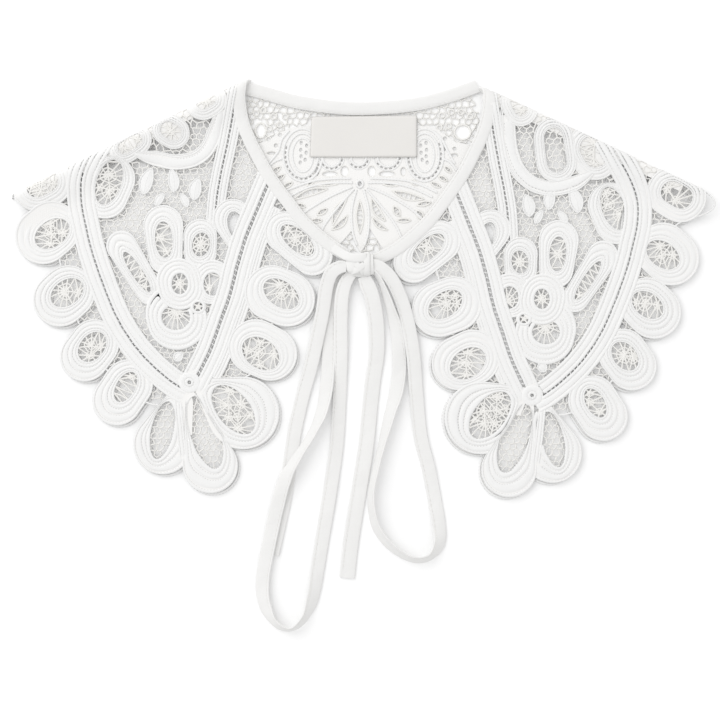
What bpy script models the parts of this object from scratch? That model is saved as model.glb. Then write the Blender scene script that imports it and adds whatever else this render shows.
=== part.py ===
"""A lace collar laid flat: two lace fronts over a lace back, a bound neck, a label and ties in a bow.

The collar lies on the plane z = 0 with its back panel down. +X is the right of the collar as it
lies, +Y runs up it to the neck, +Z is up. Sizes in this file are millimetres; MM turns them into
metres where a mesh is made.
"""

import math
from collections import defaultdict, namedtuple

import bmesh
import bpy
from mathutils import Vector
from mathutils.geometry import delaunay_2d_cdt

MM = 0.001

# The middle of the collar without its ties, which is moved over the model's origin.
MIDDLE_X = -0.81
MIDDLE_Y = -0.43

# Cloth thicknesses. The lace is a plain sheet on the underside; its cords stand proud on top.
NET = 1.0
CORD = 0.8
SEAM_GAP = 0.3
FLOOR_GAP = 0.05
LAYER = NET + CORD + SEAM_GAP

# The shoulder fold: the fronts roll round an axis above the floor and settle on the back.
ROLL = 3.0
ROLL_AXIS = NET / 2 + ROLL
ROLL_GIRTH = math.pi * ROLL
ROLL_END = ROLL - ROLL_GIRTH
RISE = 22.0
ROLL_STEPS = 4
RISE_LINES = (8.0, 15.0, 25.0)

BINDING_WIDTH = 8.5
BINDING_THICK = 2.4
BINDING_HALF = BINDING_WIDTH / 2
LABEL_THICK = 1.0
LABEL_LIFT = LAYER
TIE_THICK = 1.2
TIE_STEP = 7.0
BINDING_STEP = 10.0
RING_STEP = 8.0

TAPE_STEP = 14.0
CREASE_REACH = 300.0

# Points of the pattern nearer than WELD are one point. A loop's narrow end stays TIP wide.
TIP = 0.6
WELD = 0.05

# The filling of a loop: spokes of SPOKE_BAR round a heart, so many gaps between them by the
# loop's size. A gap's sides are shares of its turn.
SPOKE_BAR = 1.0
SPOKE_HEART = 0.30
SPOKE_LEAN = 0.9
WIDE_GAP_SIDES = (0.06, 0.35, 0.65, 0.94)
GAP_SIDES = (0.09, 0.5, 0.91)
BIG_CIRCLE = 14.6
BIG_LOOP = 28.5

# The net ground: hexagonal cells, of which each panel has only its largest cut through.
MESH_PITCH = 6.6
MESH_ROW = MESH_PITCH * math.sqrt(0.75)
MESH_CELL = 2.35
FRONT_CELLS = 12
BACK_CELLS = 50
CELLS_OFF_FOLD = 9.0
CELLS_OFF_HOLE = 3.0

# Cords have a flattened round back: their profile is raised by this and cut level.
CROWN = 1.15
# What stands proud dies out by this share of the half turn under the fold.
PROUD_TURN = 0.75

Fold = namedtuple("Fold", "x y angle")
LEFT_FOLD = Fold(-110.0, 118.5, 26.2)
RIGHT_FOLD = Fold(73.5, 133.5, -25.0)

# The right front is the left one's mirror image, laid a little smaller and turned.
Lay = namedtuple("Lay", "xx xy x0 yx yy y0")
RIGHT_LAY = Lay(-0.959, 0.016, 4.0, 0.032, 0.961, -4.9)
BACK_LEFT_SHIFT = (2.0, -3.0)
BACK_RIGHT_SHIFT = (-7.5, -3.0)

# A loop is a band worked round two circles: a ring, an oval or a petal. `band` is its width, and
# right_x and right_y are how far the right front's own one lies from the mirrored place.
Loop = namedtuple("Loop", "name x0 y0 r0 x1 y1 r1 band right_x right_y")
SCALLOPS = (
    Loop("outer_0", -209.5, 66.5, 16.0, -203.0, 70.0, 16.0, 9.0, 0.9, 7.2),
    Loop("outer_1", -206.5, 34.5, 18.0, -200.5, 39.5, 18.0, 10.5, -1.5, -1.0),
    Loop("outer_2", -195.5, -6.5, 17.5, -190.0, -1.5, 17.5, 10.0, -1.5, 3.0),
    Loop("outer_3", -179.5, -43.5, 16.0, -173.0, -35.0, 16.0, 9.5, 0.0, 3.0),
    Loop("outer_4", -158.5, -72.0, 16.0, -151.0, -61.0, 16.0, 9.0, 2.0, -3.0),
    Loop("tip_left", -114.5, -69.0, 4.0, -129.0, -103.5, 17.5, 8.5, -2.0, -0.5),
    Loop("tip_mid", -110.0, -70.0, 4.0, -98.0, -114.0, 18.0, 9.0, -0.5, 1.0),
    Loop("tip_right", -104.5, -65.5, 4.0, -74.5, -83.0, 21.0, 10.0, -1.5, 1.0),
    Loop("front_3", -68.5, -37.0, 18.0, -59.0, -41.5, 17.5, 10.0, 3.0, -1.0),
    Loop("front_2", -58.0, -2.0, 18.0, -48.0, -6.0, 18.0, 10.0, 0.5, -0.5),
    Loop("front_1", -49.5, 37.5, 13.5, -31.5, 22.0, 13.0, 8.0, -1.0, 2.0),
)
FLOWER = (
    Loop("upper", -166.0, 60.5, 14.5, -161.0, 72.0, 14.5, 8.0, 1.5, -4.0),
    Loop("petal_1", -155.5, 28.5, 10.0, -137.0, -1.5, 8.5, 6.0, 3.0, 4.5),
    Loop("petal_2", -128.5, 42.0, 13.0, -127.0, 21.0, 11.0, 8.0, 0.0, 1.0),
    Loop("petal_3", -104.5, 35.0, 11.0, -104.5, 23.5, 10.5, 6.5, -1.5, -2.0),
    Loop("petal_4", -83.5, 46.0, 13.0, -77.0, 28.5, 8.0, 7.0, -1.0, 2.5),
    Loop("heart_1", -118.5, 6.0, 14.5, -117.5, 1.5, 14.5, 8.0, 0.0, -1.0),
    Loop("heart_2", -96.5, 6.0, 13.5, -97.0, 4.0, 13.5, 8.0, -0.5, -0.5),
    Loop("heart_3", -121.0, -15.0, 19.0, -119.5, -19.5, 19.5, 10.0, 0.5, -1.5),
    Loop("fold_1", -103.0, 121.0, 10.0, -96.0, 125.0, 9.0, 6.0, 0.0, 0.0),
    Loop("fold_2", -126.5, 110.0, 8.5, -120.0, 92.5, 10.0, 5.5, 0.0, 0.0),
    Loop("fold_3", -153.5, 91.5, 10.0, -145.5, 97.0, 10.0, 6.0, 0.0, 0.0),
)
OPEN_LOOP = "petal_4"
BACK_NECK = (
    Loop("side_left", -38.0, 94.0, 9.5, -38.0, 83.0, 11.0, 6.0, 0.0, 0.0),
    Loop("side_right", 40.5, 94.5, 9.0, 40.5, 82.0, 10.0, 6.0, 0.0, 0.0),
    Loop("scallop_left", -19.5, 86.0, 7.5, -19.5, 84.0, 7.5, 5.0, 0.0, 0.0),
    Loop("scallop_mid", -1.5, 86.0, 6.5, -1.5, 84.0, 6.5, 5.0, 0.0, 0.0),
    Loop("scallop_right", 20.0, 87.0, 8.5, 20.0, 85.0, 8.5, 5.0, 0.0, 0.0),
    Loop("fan_left", -8.0, 63.5, 3.0, -23.5, 49.0, 10.0, 6.0, 0.0, 0.0),
    Loop("fan_mid", -1.0, 50.0, 7.5, 0.0, 37.0, 5.0, 4.5, 0.0, 0.0),
    Loop("fan_right", 7.0, 64.0, 3.0, 27.0, 49.0, 10.0, 6.0, 0.0, 0.0),
)

# Leaves and the small hub where the tapes meet are solid pads.
Pad = namedtuple("Pad", "x y length width angle")
PADS = (
    Pad(-137.5, 70.0, 17.0, 8.0, 75.0),
    Pad(-122.0, 67.5, 20.0, 8.0, 95.0),
    Pad(-107.5, 66.5, 20.0, 8.0, 100.0),
    Pad(-114.0, -48.0, 10.0, 9.0, -20.0),
    Pad(-111.5, -60.5, 8.0, 8.0, 0.0),
)
BACK_PADS = (Pad(-1.5, 68.0, 7.0, 7.0, 0.0),)

# A tape is one band, or two side by side with a laddered seam between them. Its points are the
# middle of the tape, from the neck or shoulder down.
Tape = namedtuple("Tape", "name width bands points")
TAPES = (
    Tape("strap_outer", 18.0, 2, (
        (-176, 84.5), (-181, 71.5), (-181.5, 57), (-179, 43), (-175, 26), (-168, 5),
        (-159, -17), (-149, -33.5), (-138, -46.5), (-124.5, -58.5))),
    Tape("strap_inner", 18.0, 2, (
        (-61, 67.5), (-67.5, 52), (-74.5, 35), (-80.5, 15.5), (-85, -2.5), (-91.5, -21),
        (-98, -39), (-105.5, -54.5))),
    Tape("stem", 13.0, 2, ((-80, 130), (-84, 112), (-88, 94), (-92, 78), (-96, 61))),
    Tape("crescent", 8.5, 1, (
        (-143.5, 95.5), (-138, 86.5), (-127.5, 80), (-114.5, 80.5), (-103, 88), (-96, 99),
        (-93.5, 112), (-93.5, 126))),
)
BACK_TAPES = (
    Tape("arch_left", 7.0, 1, ((-4, 69), (-20, 70), (-36, 67.5), (-52, 61))),
    Tape("arch_right", 7.0, 1, ((2, 69), (18, 70), (36, 67), (52, 61))),
)

# The lace ground that joins loops and tapes, by the corners of its outline.
GROUND = (
    (-78, 150), (-226, 79), (-207, 55), (-200, 38), (-190, -3), (-175, -38), (-153, -64),
    (-127, -70), (-98, -66), (-66, -44), (-52, -4), (-42, 28), (-20, 28), (-55, 66), (-76, 108),
)
BACK_GROUND = (
    (-82, 134), (-60, 127), (-28, 119), (0, 117), (30, 119.5), (62, 127.5), (82, 136), (110, 40),
    (64, -40), (44, 0), (26, 24), (10, 26), (3, 24.3), (-5, 24.3), (-12, 26), (-30, 26), (-46, 0),
    (-60, -40), (-110, 40),
)

# Middle of the neck binding: up each front from the bow to the shoulder, and across the back.
NECK_LEFT = (
    (-9.6, 21.8), (-21.5, 30), (-30, 37), (-39, 45.5), (-47, 56), (-55, 66.5), (-62, 77),
    (-68, 88), (-73, 98), (-76.8, 108), (-78.8, 118), (-79.4, 126), (-78.5, 134), (-77.3, 146),
)
NECK_RIGHT = (
    (7.0, 18.4), (22, 26), (34, 35.3), (44.5, 45.5), (52.5, 56), (60, 66.5), (66.5, 76.5),
    (72, 87), (77, 97.5), (80.8, 108), (82.8, 118.5), (83, 126), (82, 134), (80.5, 146),
)
NECK_BACK = (
    (-86, 133), (-74, 130.5), (-63, 127.7), (-53, 124.8), (-42.5, 122), (-27, 119.5),
    (-14, 118), (-1, 117.5), (12, 118), (25, 119), (41.5, 121.5), (56, 125.5), (68, 129.5),
    (80, 134), (90, 138),
)

# Each panel stops at its binding. These corners close the outline of what is cut away beyond it.
CLEAR_OF_LEFT = ((60, 180), (60, -60), (-6, -60), (-6, 18))
CLEAR_OF_RIGHT = ((-60, 180), (-60, -60), (4, -60), (4, 14))
CLEAR_OF_BACK = ((140, 160), (140, 220), (-140, 220), (-140, 160))

# Where the net is cut through: the box of each panel's open ground, as low and high x, low and
# high y.
NET_LEFT = (-176, -70, 20, 105)
NET_RIGHT = (60, 200, 10, 90)
NET_BACK = (-74, 74, 30, 124)

# Wide holes in the back lace: between the small scallops, and beside the shoulders.
Hole = namedtuple("Hole", "x y width height")
BACK_HOLES = (
    Hole(-65.5, 103, 7, 9), Hole(66, 103, 9, 9), Hole(-12.5, 75, 6, 8), Hole(12, 76, 6, 8),
    Hole(-24.5, 74.5, 4.5, 5), Hole(5.5, 76, 4, 7),
)

LABEL_CORNERS = ((-33.5, 86.0), (36.0, 86.0), (36.0, 113.0), (-32.5, 112.3))

# The ties. `turn` is how far the tape is rolled about its own line, in degrees.
Stop = namedtuple("Stop", "x y z width turn")
TIES = {
    "tie_left_tail": (
        Stop(-9.9, 14.8, 6.4, 7, 0), Stop(-14, 14.6, 6.6, 8.5, 0), Stop(-19, 11.5, 5.8, 9, 0),
        Stop(-22, 5, 4.8, 9, 0), Stop(-23.6, -3, 4.2, 9, 0), Stop(-25.2, -14, 3.7, 9, 0),
        Stop(-28.5, -30, 3.1, 9, 0), Stop(-33, -50, 2.2, 9, 0), Stop(-38, -68, 1.2, 9, 0),
        Stop(-43, -90, 0.9, 9, 0), Stop(-46, -110, 0.8, 9, 0), Stop(-48.5, -128, 0.8, 9, 0),
        Stop(-53, -150, 0.8, 9, 0), Stop(-58, -172, 0.8, 9, 0)),
    "tie_left_loop": (
        Stop(-6.6, 10.2, 3.8, 7, 0), Stop(-10.4, 4.5, 4.2, 8.5, 0), Stop(-12.8, -5, 4.2, 9, 0),
        Stop(-13.5, -20, 3.2, 9, 0), Stop(-13.5, -45, 2.0, 9, 0), Stop(-14.5, -75, 1.0, 9, 0),
        Stop(-16, -100, 0.8, 9, 0), Stop(-19.5, -125, 0.8, 9, 0), Stop(-23.5, -150, 0.8, 9, 0),
        Stop(-28, -178, 0.9, 9, -5), Stop(-31.5, -199, 2.2, 9, -25), Stop(-37, -213, 4.4, 8.5, -55),
        Stop(-46, -220, 5.0, 8.5, -72), Stop(-56, -216, 4.4, 8.5, -60),
        Stop(-63, -203, 3.6, 9, -30), Stop(-64, -187, 3.0, 9, -12), Stop(-60, -165, 2.8, 9, -5),
        Stop(-55, -142, 3.0, 9, 0), Stop(-50, -124, 4.4, 9, -18), Stop(-44.5, -113, 5.8, 8.5, -45),
        Stop(-37.5, -102, 5.6, 8.5, -60), Stop(-31, -91, 5.0, 8.5, -55),
        Stop(-25.5, -78, 4.0, 9, -35), Stop(-22.5, -62, 2.6, 9, -15), Stop(-21.5, -45, 1.6, 8.5, 0),
        Stop(-21, -25, 1.2, 8, 0), Stop(-20, -10, 1.2, 8, 0), Stop(-16.5, 1.5, 1.2, 7.5, 0),
        Stop(-12, 7.8, 1.2, 7, 0), Stop(-7.9, 11.6, 1.2, 6, 0)),
    "tie_right_tail": (
        Stop(1.4, 8.7, 4.0, 8, 0), Stop(3.8, 3.0, 4.4, 10, 0), Stop(6.8, -5, 4.0, 10, 0),
        Stop(9.4, -20, 3.0, 10, 0), Stop(10, -40, 1.6, 10, 0), Stop(7.5, -59, 0.9, 10, 0),
        Stop(5.5, -77, 0.8, 10, 0), Stop(3, -101, 0.8, 10, 0), Stop(-0.7, -125, 0.8, 10, 0),
        Stop(-4.4, -148, 0.8, 10, 0), Stop(-7.1, -166, 0.8, 10, 0), Stop(-9.4, -187, 0.8, 10, 0)),
    "tie_right_loop": (
        Stop(6.9, 16.0, 6.6, 7.5, 0), Stop(11.5, 14.6, 6.8, 8.5, 0), Stop(18, 8.6, 6.2, 9, 0),
        Stop(23, 0, 5.4, 9, 0), Stop(27.5, -12, 4.8, 9, 0), Stop(31.2, -27, 4.2, 9, 0),
        Stop(33.9, -45, 3.2, 9, 0), Stop(35.7, -68, 1.6, 9, 0), Stop(38.4, -95, 0.9, 9, 0),
        Stop(43.5, -115.5, 0.8, 9, 0), Stop(47.5, -136, 0.8, 9, 0), Stop(50.2, -152, 1.2, 9, -10),
        Stop(50.5, -164.5, 2.6, 9, -30), Stop(43.9, -173.5, 4.4, 8.5, -55),
        Stop(32.5, -174.5, 4.8, 8.5, -60), Stop(19.5, -166.8, 4.6, 8.5, -55),
        Stop(10.5, -155.8, 4.6, 8.5, -55), Stop(6.8, -143.5, 4.8, 8.5, -60),
        Stop(6.5, -130, 4.9, 8.5, -65), Stop(9.5, -115, 4.8, 8.5, -60),
        Stop(13, -101, 4.4, 8.5, -55), Stop(18.2, -81.3, 4.0, 9, -40),
        Stop(23.2, -63, 3.2, 9, -12), Stop(24.6, -45, 2.0, 9, 0), Stop(22.5, -25.5, 3.0, 8.5, -25),
        Stop(18, -10, 4.4, 8.5, -50), Stop(12.6, 4.5, 4.6, 8, -62), Stop(9.5, 9.5, 4.5, 7, -62),
        Stop(6.8, 12.6, 4.3, 6, -62)),
}

KNOT_CENTRE = (-1.5, 16.5, 4.4)
KNOT_SIZE = (15.0, 13.0, 8.2)
KNOT_BANDS = 3
KNOT_RIDGE = 0.55


def clear_scene():
    """Remove whatever the file opened with."""
    for thing in list(bpy.data.objects):
        bpy.data.objects.remove(thing)


def cloth(name, colour, roughness):
    """One cloth colour."""
    material = bpy.data.materials.new(name)
    material.use_nodes = True
    shader = material.node_tree.nodes["Principled BSDF"]
    shader.inputs["Base Color"].default_value = (*colour, 1.0)
    shader.inputs["Roughness"].default_value = roughness
    shader.inputs["Metallic"].default_value = 0.0
    return material


def ease(share):
    """A smooth step from 0 to 1."""
    share = max(0.0, min(1.0, share))
    return share * share * (3 - 2 * share)


def smooth_path(points, step):
    """Points every `step` along a smooth curve through the given ones (Catmull-Rom)."""
    points = [Vector(point) for point in points]
    ends = [2 * points[0] - points[1], *points, 2 * points[-1] - points[-2]]
    path = []
    for before, start, end, after in zip(ends, ends[1:], ends[2:], ends[3:]):
        count = max(1, round((end - start).length / step))
        for number in range(count):
            t = number / count
            path.append(0.5 * (2 * start + (end - before) * t
                               + (2 * before - 5 * start + 4 * end - after) * t ** 2
                               + (3 * start - before - 3 * end + after) * t ** 3))
    return [*path, points[-1]]


def sideways(path, number):
    """The unit vector to the left of a flat path at one of its points."""
    along = path[min(number + 1, len(path) - 1)] - path[max(number - 1, 0)]
    return Vector((-along.y, along.x)).normalized()


def offset_path(path, distance):
    """A flat path moved sideways to its left."""
    return [point + sideways(path, number) * distance for number, point in enumerate(path)]


# ---- The folded shoulder -------------------------------------------------------------------

def fold_axes(fold):
    """The fold line's own direction, and the direction from it into the front."""
    angle = math.radians(fold.angle)
    along = Vector((math.cos(angle), math.sin(angle)))
    return along, Vector((along.y, -along.x))


def depth_from_fold(fold, point):
    """How far a point of the pattern lies from the fold line, into the front."""
    return (Vector(point) - Vector((fold.x, fold.y))).dot(fold_axes(fold)[1])


def depths_to_bend():
    """The depths at which a front is creased to follow the fold, from the inside outwards."""
    turned = [ROLL - ROLL_GIRTH * step / ROLL_STEPS for step in range(ROLL_STEPS + 1)]
    return [*sorted(RISE_LINES, reverse=True), *turned]


def at_depth(path, fold, depth):
    """Where a path that runs out over the fold line reaches a depth."""
    for start, end in zip(path, path[1:]):
        high, low = depth_from_fold(fold, start), depth_from_fold(fold, end)
        if high >= depth > low:
            return start.lerp(end, (high - depth) / (high - low))
    raise ValueError("the path ends before the fold")


def lay_front(fold, point, height, proud, base):
    """Put a point of a front's flat pattern in place.

    `height` is measured from the middle of the cloth, `proud` is what stands on its outer face,
    and `base` is how high that middle lies where the cloth has gone under.
    """
    depth = depth_from_fold(fold, point)
    radius = ROLL_AXIS - base
    flat = Vector(point)
    if depth >= ROLL:
        top = ROLL_AXIS + radius
        middle = top + (LAYER + base - top) * ease((depth - ROLL) / RISE)
        return Vector((*flat, middle + height + proud))
    turn = math.pi * (ROLL - depth) / ROLL_GIRTH
    reach = radius + height + proud * max(0.0, 1 - turn / (PROUD_TURN * math.pi))
    flat += fold_axes(fold)[1] * (ROLL - reach * math.sin(turn) - depth)
    return Vector((*flat, ROLL_AXIS + reach * math.cos(turn)))


def lay_back(_fold, point, height, proud, base):
    """Put a point of the back in place: it lies flat on the floor."""
    return Vector((*point, base + height + proud))


# ---- The lace pattern ----------------------------------------------------------------------

def ring(loop, inset):
    """A loop's outline moved inwards: two arcs, and the straight sides between them."""
    start, end = Vector((loop.x0, loop.y0)), Vector((loop.x1, loop.y1))
    small, large = loop.r0 - inset, loop.r1 - inset
    if small < TIP < large:
        start = start.lerp(end, (TIP - small) / (large - small))
        small = TIP
    axis = end - start
    heading = math.atan2(axis.y, axis.x)
    spread = math.acos(max(-1.0, min(1.0, (small - large) / axis.length)))
    arcs = ((end, large, heading - spread, 2 * spread),
            (start, small, heading + spread, 2 * (math.pi - spread)))
    points = []
    for centre, radius, first, sweep in arcs:
        steps = max(2 if radius > RING_STEP / 2 else 1, round(radius * sweep / RING_STEP))
        for number in range(steps + 1):
            angle = first + sweep * number / steps
            points.append(centre + radius * Vector((math.cos(angle), math.sin(angle))))
    return points


def inset_in(loop, point):
    """How far a point lies inside a loop's outline; less than 0 outside it."""
    start, end = Vector((loop.x0, loop.y0)), Vector((loop.x1, loop.y1))
    axis = end - start
    length = axis.length
    away = Vector(point) - start
    across = abs(away.cross(axis)) / length
    along = away.dot(axis) / length
    lean = (loop.r0 - loop.r1) / length
    upright = math.sqrt(max(0.0, 1 - lean * lean))
    side = along * upright - across * lean
    if side < 0:
        return loop.r0 - Vector((across, along)).length
    if side > upright * length:
        return loop.r1 - Vector((across, along - length)).length
    return loop.r0 - (across * upright + along * lean)


def hole_edge(loop, angle, inset):
    """The point of a loop's hole straight out from its middle at an angle."""
    middle = hole_middle(loop)
    heading = Vector((math.cos(angle), math.sin(angle)))
    near, far = 0.0, 2 * (loop.r0 + loop.r1)
    for _ in range(24):
        reach = (near + far) / 2
        if inset_in(loop, middle + heading * reach) > inset:
            near = reach
        else:
            far = reach
    return middle, middle + heading * near


def hole_middle(loop):
    """The middle of a loop's hole, which lies towards its wide end."""
    share = loop.r1 / (loop.r0 + loop.r1)
    start, end = Vector((loop.x0, loop.y0)), Vector((loop.x1, loop.y1))
    return start.lerp(end, 0.5 + (share - 0.5) * SPOKE_LEAN)


def spoke_gaps(loop, count):
    """The wedge-shaped gaps between the spokes of a loop's filling."""
    sides = WIDE_GAP_SIDES if count == 2 else GAP_SIDES
    gaps = []
    for number in range(count):
        outer, inner = [], []
        for side in sides:
            angle = 2 * math.pi * (number + side) / count
            middle, edge = hole_edge(loop, angle, loop.band + SPOKE_BAR)
            outer.append(edge)
            if side in (sides[0], sides[-1]):
                inner.insert(0, middle.lerp(edge, SPOKE_HEART))
        gaps.append([*outer, *inner])
    return gaps


def distance_to_path(path, point):
    """The distance from a point to a flat path."""
    best = math.inf
    for start, end in zip(path, path[1:]):
        along = end - start
        share = max(0.0, min(1.0, (point - start).dot(along) / along.length_squared))
        best = min(best, (point - start - along * share).length)
    return best


def proud_at(design, point):
    """How far the cords stand above the net at a point of the design."""
    crown = 0.0
    for loop in design["raised"]:
        share = inset_in(loop, point) / loop.band
        if 0 < share < 1:
            crown = max(crown, math.sin(math.pi * share))
    for tape, path in design["tapes"]:
        half = tape.width / 2
        across = distance_to_path(path, point) / half
        if across < 1:
            share = across if tape.bands == 2 else (across + 1) / 2
            crown = max(crown, math.sin(math.pi * share))
    for pad in design["pads"]:
        angle = math.radians(pad.angle)
        away = point - Vector((pad.x, pad.y))
        along = away.x * math.cos(angle) + away.y * math.sin(angle)
        across = away.y * math.cos(angle) - away.x * math.sin(angle)
        crown = max(crown, 1 - (2 * along / pad.length) ** 2 - (2 * across / pad.width) ** 2)
    return CORD * min(1.0, crown * CROWN)


def oval(middle, width, height):
    """Six points round an oval."""
    return [middle + Vector((width / 2 * math.cos(math.radians(angle)),
                             height / 2 * math.sin(math.radians(angle))))
            for angle in range(0, 360, 60)]


def mesh_gaps(design, ground, box, limit, is_free):
    """Cells of the net ground within a box, where it is free of every loop, tape and pad."""
    low_x, high_x, low_y, high_y = box
    gaps = []
    for row in range(int((high_y - low_y) / MESH_ROW) + 1):
        for column in range(int((high_x - low_x) / MESH_PITCH) + 1):
            middle = Vector((low_x + (column + 0.5 * (row % 2)) * MESH_PITCH,
                             low_y + row * MESH_ROW))
            rim = oval(middle, 2 * MESH_CELL, 2 * MESH_CELL)
            clear = all(proud_at(design, point) <= 0 and inside(ground, point)
                        and not any(inset_in(loop, point) > 0 for loop in design["loops"])
                        and is_free(point) for point in rim)
            if clear and len(gaps) < limit:
                gaps.append(rim)
    return gaps


def inside(outline, point):
    """Whether a point is inside a closed outline (even-odd rule)."""
    odd = False
    for number, (x, y) in enumerate(outline):
        before_x, before_y = outline[number - 1]
        if (y > point[1]) != (before_y > point[1]):
            if point[0] < x + (before_x - x) * (point[1] - y) / (before_y - y):
                odd = not odd
    return odd


def counterclockwise(outline):
    """The outline turned so that it runs counterclockwise."""
    outline = [Vector(point) for point in outline]
    area = sum(a.cross(b) for a, b in zip(outline, outline[1:] + outline[:1]))
    return outline if area > 0 else outline[::-1]


def right_copy(item):
    """The right front's own copy of a loop, tape, pad or point of the left one."""
    def place(x, y):
        lay = RIGHT_LAY
        return (lay.xx * x + lay.xy * y + lay.x0, lay.yx * x + lay.yy * y + lay.y0)

    if isinstance(item, Loop):
        x0, y0 = place(item.x0, item.y0)
        x1, y1 = place(item.x1, item.y1)
        return item._replace(x0=x0 + item.right_x, y0=y0 + item.right_y,
                             x1=x1 + item.right_x, y1=y1 + item.right_y)
    if isinstance(item, Pad):
        x, y = place(item.x, item.y)
        return item._replace(x=x, y=y, angle=180 - item.angle)
    if isinstance(item, Tape):
        return item._replace(points=tuple(place(*point) for point in item.points))
    return place(*item)


def moved(loop, shift):
    """A loop moved sideways and up."""
    return loop._replace(x0=loop.x0 + shift[0], x1=loop.x1 + shift[0],
                         y0=loop.y0 + shift[1], y1=loop.y1 + shift[1])


def front_design(mirrored):
    """One front's loops, tapes, pads, ground outline and gaps."""
    copy = right_copy if mirrored else (lambda item: item)
    loops = [copy(loop) for loop in SCALLOPS + FLOWER]
    tapes = [copy(tape) for tape in TAPES]
    ground = counterclockwise([copy(point) for point in GROUND])
    design = {
        "loops": loops,
        "tapes": [(tape, smooth_path(tape.points, TAPE_STEP)) for tape in tapes],
        "pads": [copy(pad) for pad in PADS],
        "grounds": [ground],
        "raised": loops,
    }
    gaps = []
    for loop in loops:
        if loop.name == OPEN_LOOP:
            gaps.append(ring(loop, loop.band))
        elif loop.name.startswith("fold"):
            gaps += spoke_gaps(loop, 2)
        else:
            big = loop.r1 > BIG_CIRCLE or loop.r0 + loop.r1 > BIG_LOOP
            gaps += spoke_gaps(loop, 4 if big else 3)
    fold = RIGHT_FOLD if mirrored else LEFT_FOLD
    gaps += mesh_gaps(design, ground, NET_RIGHT if mirrored else NET_LEFT, FRONT_CELLS,
                      lambda point: depth_from_fold(fold, point) > CELLS_OFF_FOLD)
    design["gaps"] = gaps
    return design


def back_design():
    """The back panel: both fronts' scallops again, a little shifted, round its own neck."""
    left = [moved(loop, BACK_LEFT_SHIFT) for loop in SCALLOPS]
    right = [moved(right_copy(loop), BACK_RIGHT_SHIFT) for loop in SCALLOPS]
    loops = [*left, *right, *BACK_NECK]
    grounds = [counterclockwise([Vector(point) + Vector(BACK_LEFT_SHIFT) for point in GROUND]),
               counterclockwise([Vector(right_copy(point)) + Vector(BACK_RIGHT_SHIFT)
                                 for point in GROUND]),
               counterclockwise(BACK_GROUND)]
    design = {
        "loops": loops,
        "tapes": [(tape, smooth_path(tape.points, TAPE_STEP)) for tape in BACK_TAPES],
        "pads": list(BACK_PADS),
        "grounds": grounds,
        "raised": BACK_NECK,
    }
    gaps = []
    for loop in [*left, *right, *BACK_NECK[:2]]:
        gaps += spoke_gaps(loop, 2)
    for hole in BACK_HOLES:
        gaps.append(oval(Vector((hole.x, hole.y)), hole.width, hole.height))
    neck = [smooth_path(points, BINDING_STEP) for points in (NECK_LEFT, NECK_RIGHT, NECK_BACK)]
    holes = list(gaps)

    def in_the_neck(point):
        """Inside the neck binding, off the label and clear of the wide holes."""
        label_low, label_high = LABEL_CORNERS[0], LABEL_CORNERS[2]
        return (min(distance_to_path(path, point) for path in neck) > BINDING_HALF + NET
                and inside([*neck[0], *neck[1][::-1]], point)
                and not (label_low[0] < point.x < label_high[0] and point.y > label_low[1])
                and not any((point - corner).length < CELLS_OFF_HOLE
                            for hole in holes for corner in hole))

    gaps += mesh_gaps(design, grounds[2], NET_BACK, BACK_CELLS, in_the_neck)
    design["gaps"] = gaps
    return design


def triangulate(outlines, lines):
    """Triangles of the plane cut by closed outlines and open lines.

    Returns the points and, for each triangle, its corners and the outlines it lies in.
    """
    points, edges, faces = [], [], []
    for chain, closed in [(outline, True) for outline in outlines] + [(line, False)
                                                                      for line in lines]:
        first = len(points)
        points += [Vector(point) for point in chain]
        numbers = list(range(first, len(points)))
        if closed:
            faces.append(numbers)
        else:
            edges += list(zip(numbers, numbers[1:]))
    corners, _edges, triangles, _verts, _edge_rows, owners = delaunay_2d_cdt(
        points, edges, faces, 0, WELD)
    return corners, [(tuple(triangle), set(owner))
                     for triangle, owner in zip(triangles, owners)]


def border_edges(triangles):
    """The edges that only one triangle has, each in that triangle's own direction."""
    sides = defaultdict(list)
    for triangle in triangles:
        for number, corner in enumerate(triangle):
            edge = (triangle[number - 1], corner)
            sides[frozenset(edge)].append(edge)
    return [found[0] for found in sides.values() if len(found) == 1]


def fill_pinches(kept, spare):
    """Add triangles where two parts of the sheet would meet in a single point."""
    while True:
        leaving = defaultdict(int)
        for start, _end in border_edges(kept):
            leaving[start] += 1
        pinched = {corner for corner, count in leaving.items() if count > 1}
        if not pinched:
            return kept
        added = [triangle for triangle in spare if pinched & set(triangle)]
        if not added:
            return kept
        kept = kept + added
        spare = [triangle for triangle in spare if not pinched & set(triangle)]


def largest_piece(triangles):
    """The largest set of triangles joined edge to edge."""
    owners = defaultdict(list)
    for number, triangle in enumerate(triangles):
        for side in range(3):
            owners[frozenset((triangle[side - 1], triangle[side]))].append(number)
    left, best = set(range(len(triangles))), []
    while left:
        piece, queue = [], [left.pop()]
        while queue:
            number = queue.pop()
            piece.append(number)
            triangle = triangles[number]
            for side in range(3):
                for other in owners[frozenset((triangle[side - 1], triangle[side]))]:
                    if other in left:
                        left.remove(other)
                        queue.append(other)
        if len(piece) > len(best):
            best = piece
    return [triangles[number] for number in best]


def inside_rim(triangles, rim):
    """The triangles on the inner side of the rim, found by walking in from its edges."""
    owners = defaultdict(list)
    for number, triangle in enumerate(triangles):
        for side in range(3):
            owners[(triangle[side - 1], triangle[side])].append(number)
    fence = set(rim) | {(end, start) for start, end in rim}
    queue = [number for edge in rim for number in owners[edge]]
    found = set(queue)
    while queue:
        triangle = triangles[queue.pop()]
        for side in range(3):
            edge = (triangle[side - 1], triangle[side])
            if edge in fence:
                continue
            for number in owners[(edge[1], edge[0])]:
                if number not in found:
                    found.add(number)
                    queue.append(number)
    return [triangles[number] for number in sorted(found)]


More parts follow.
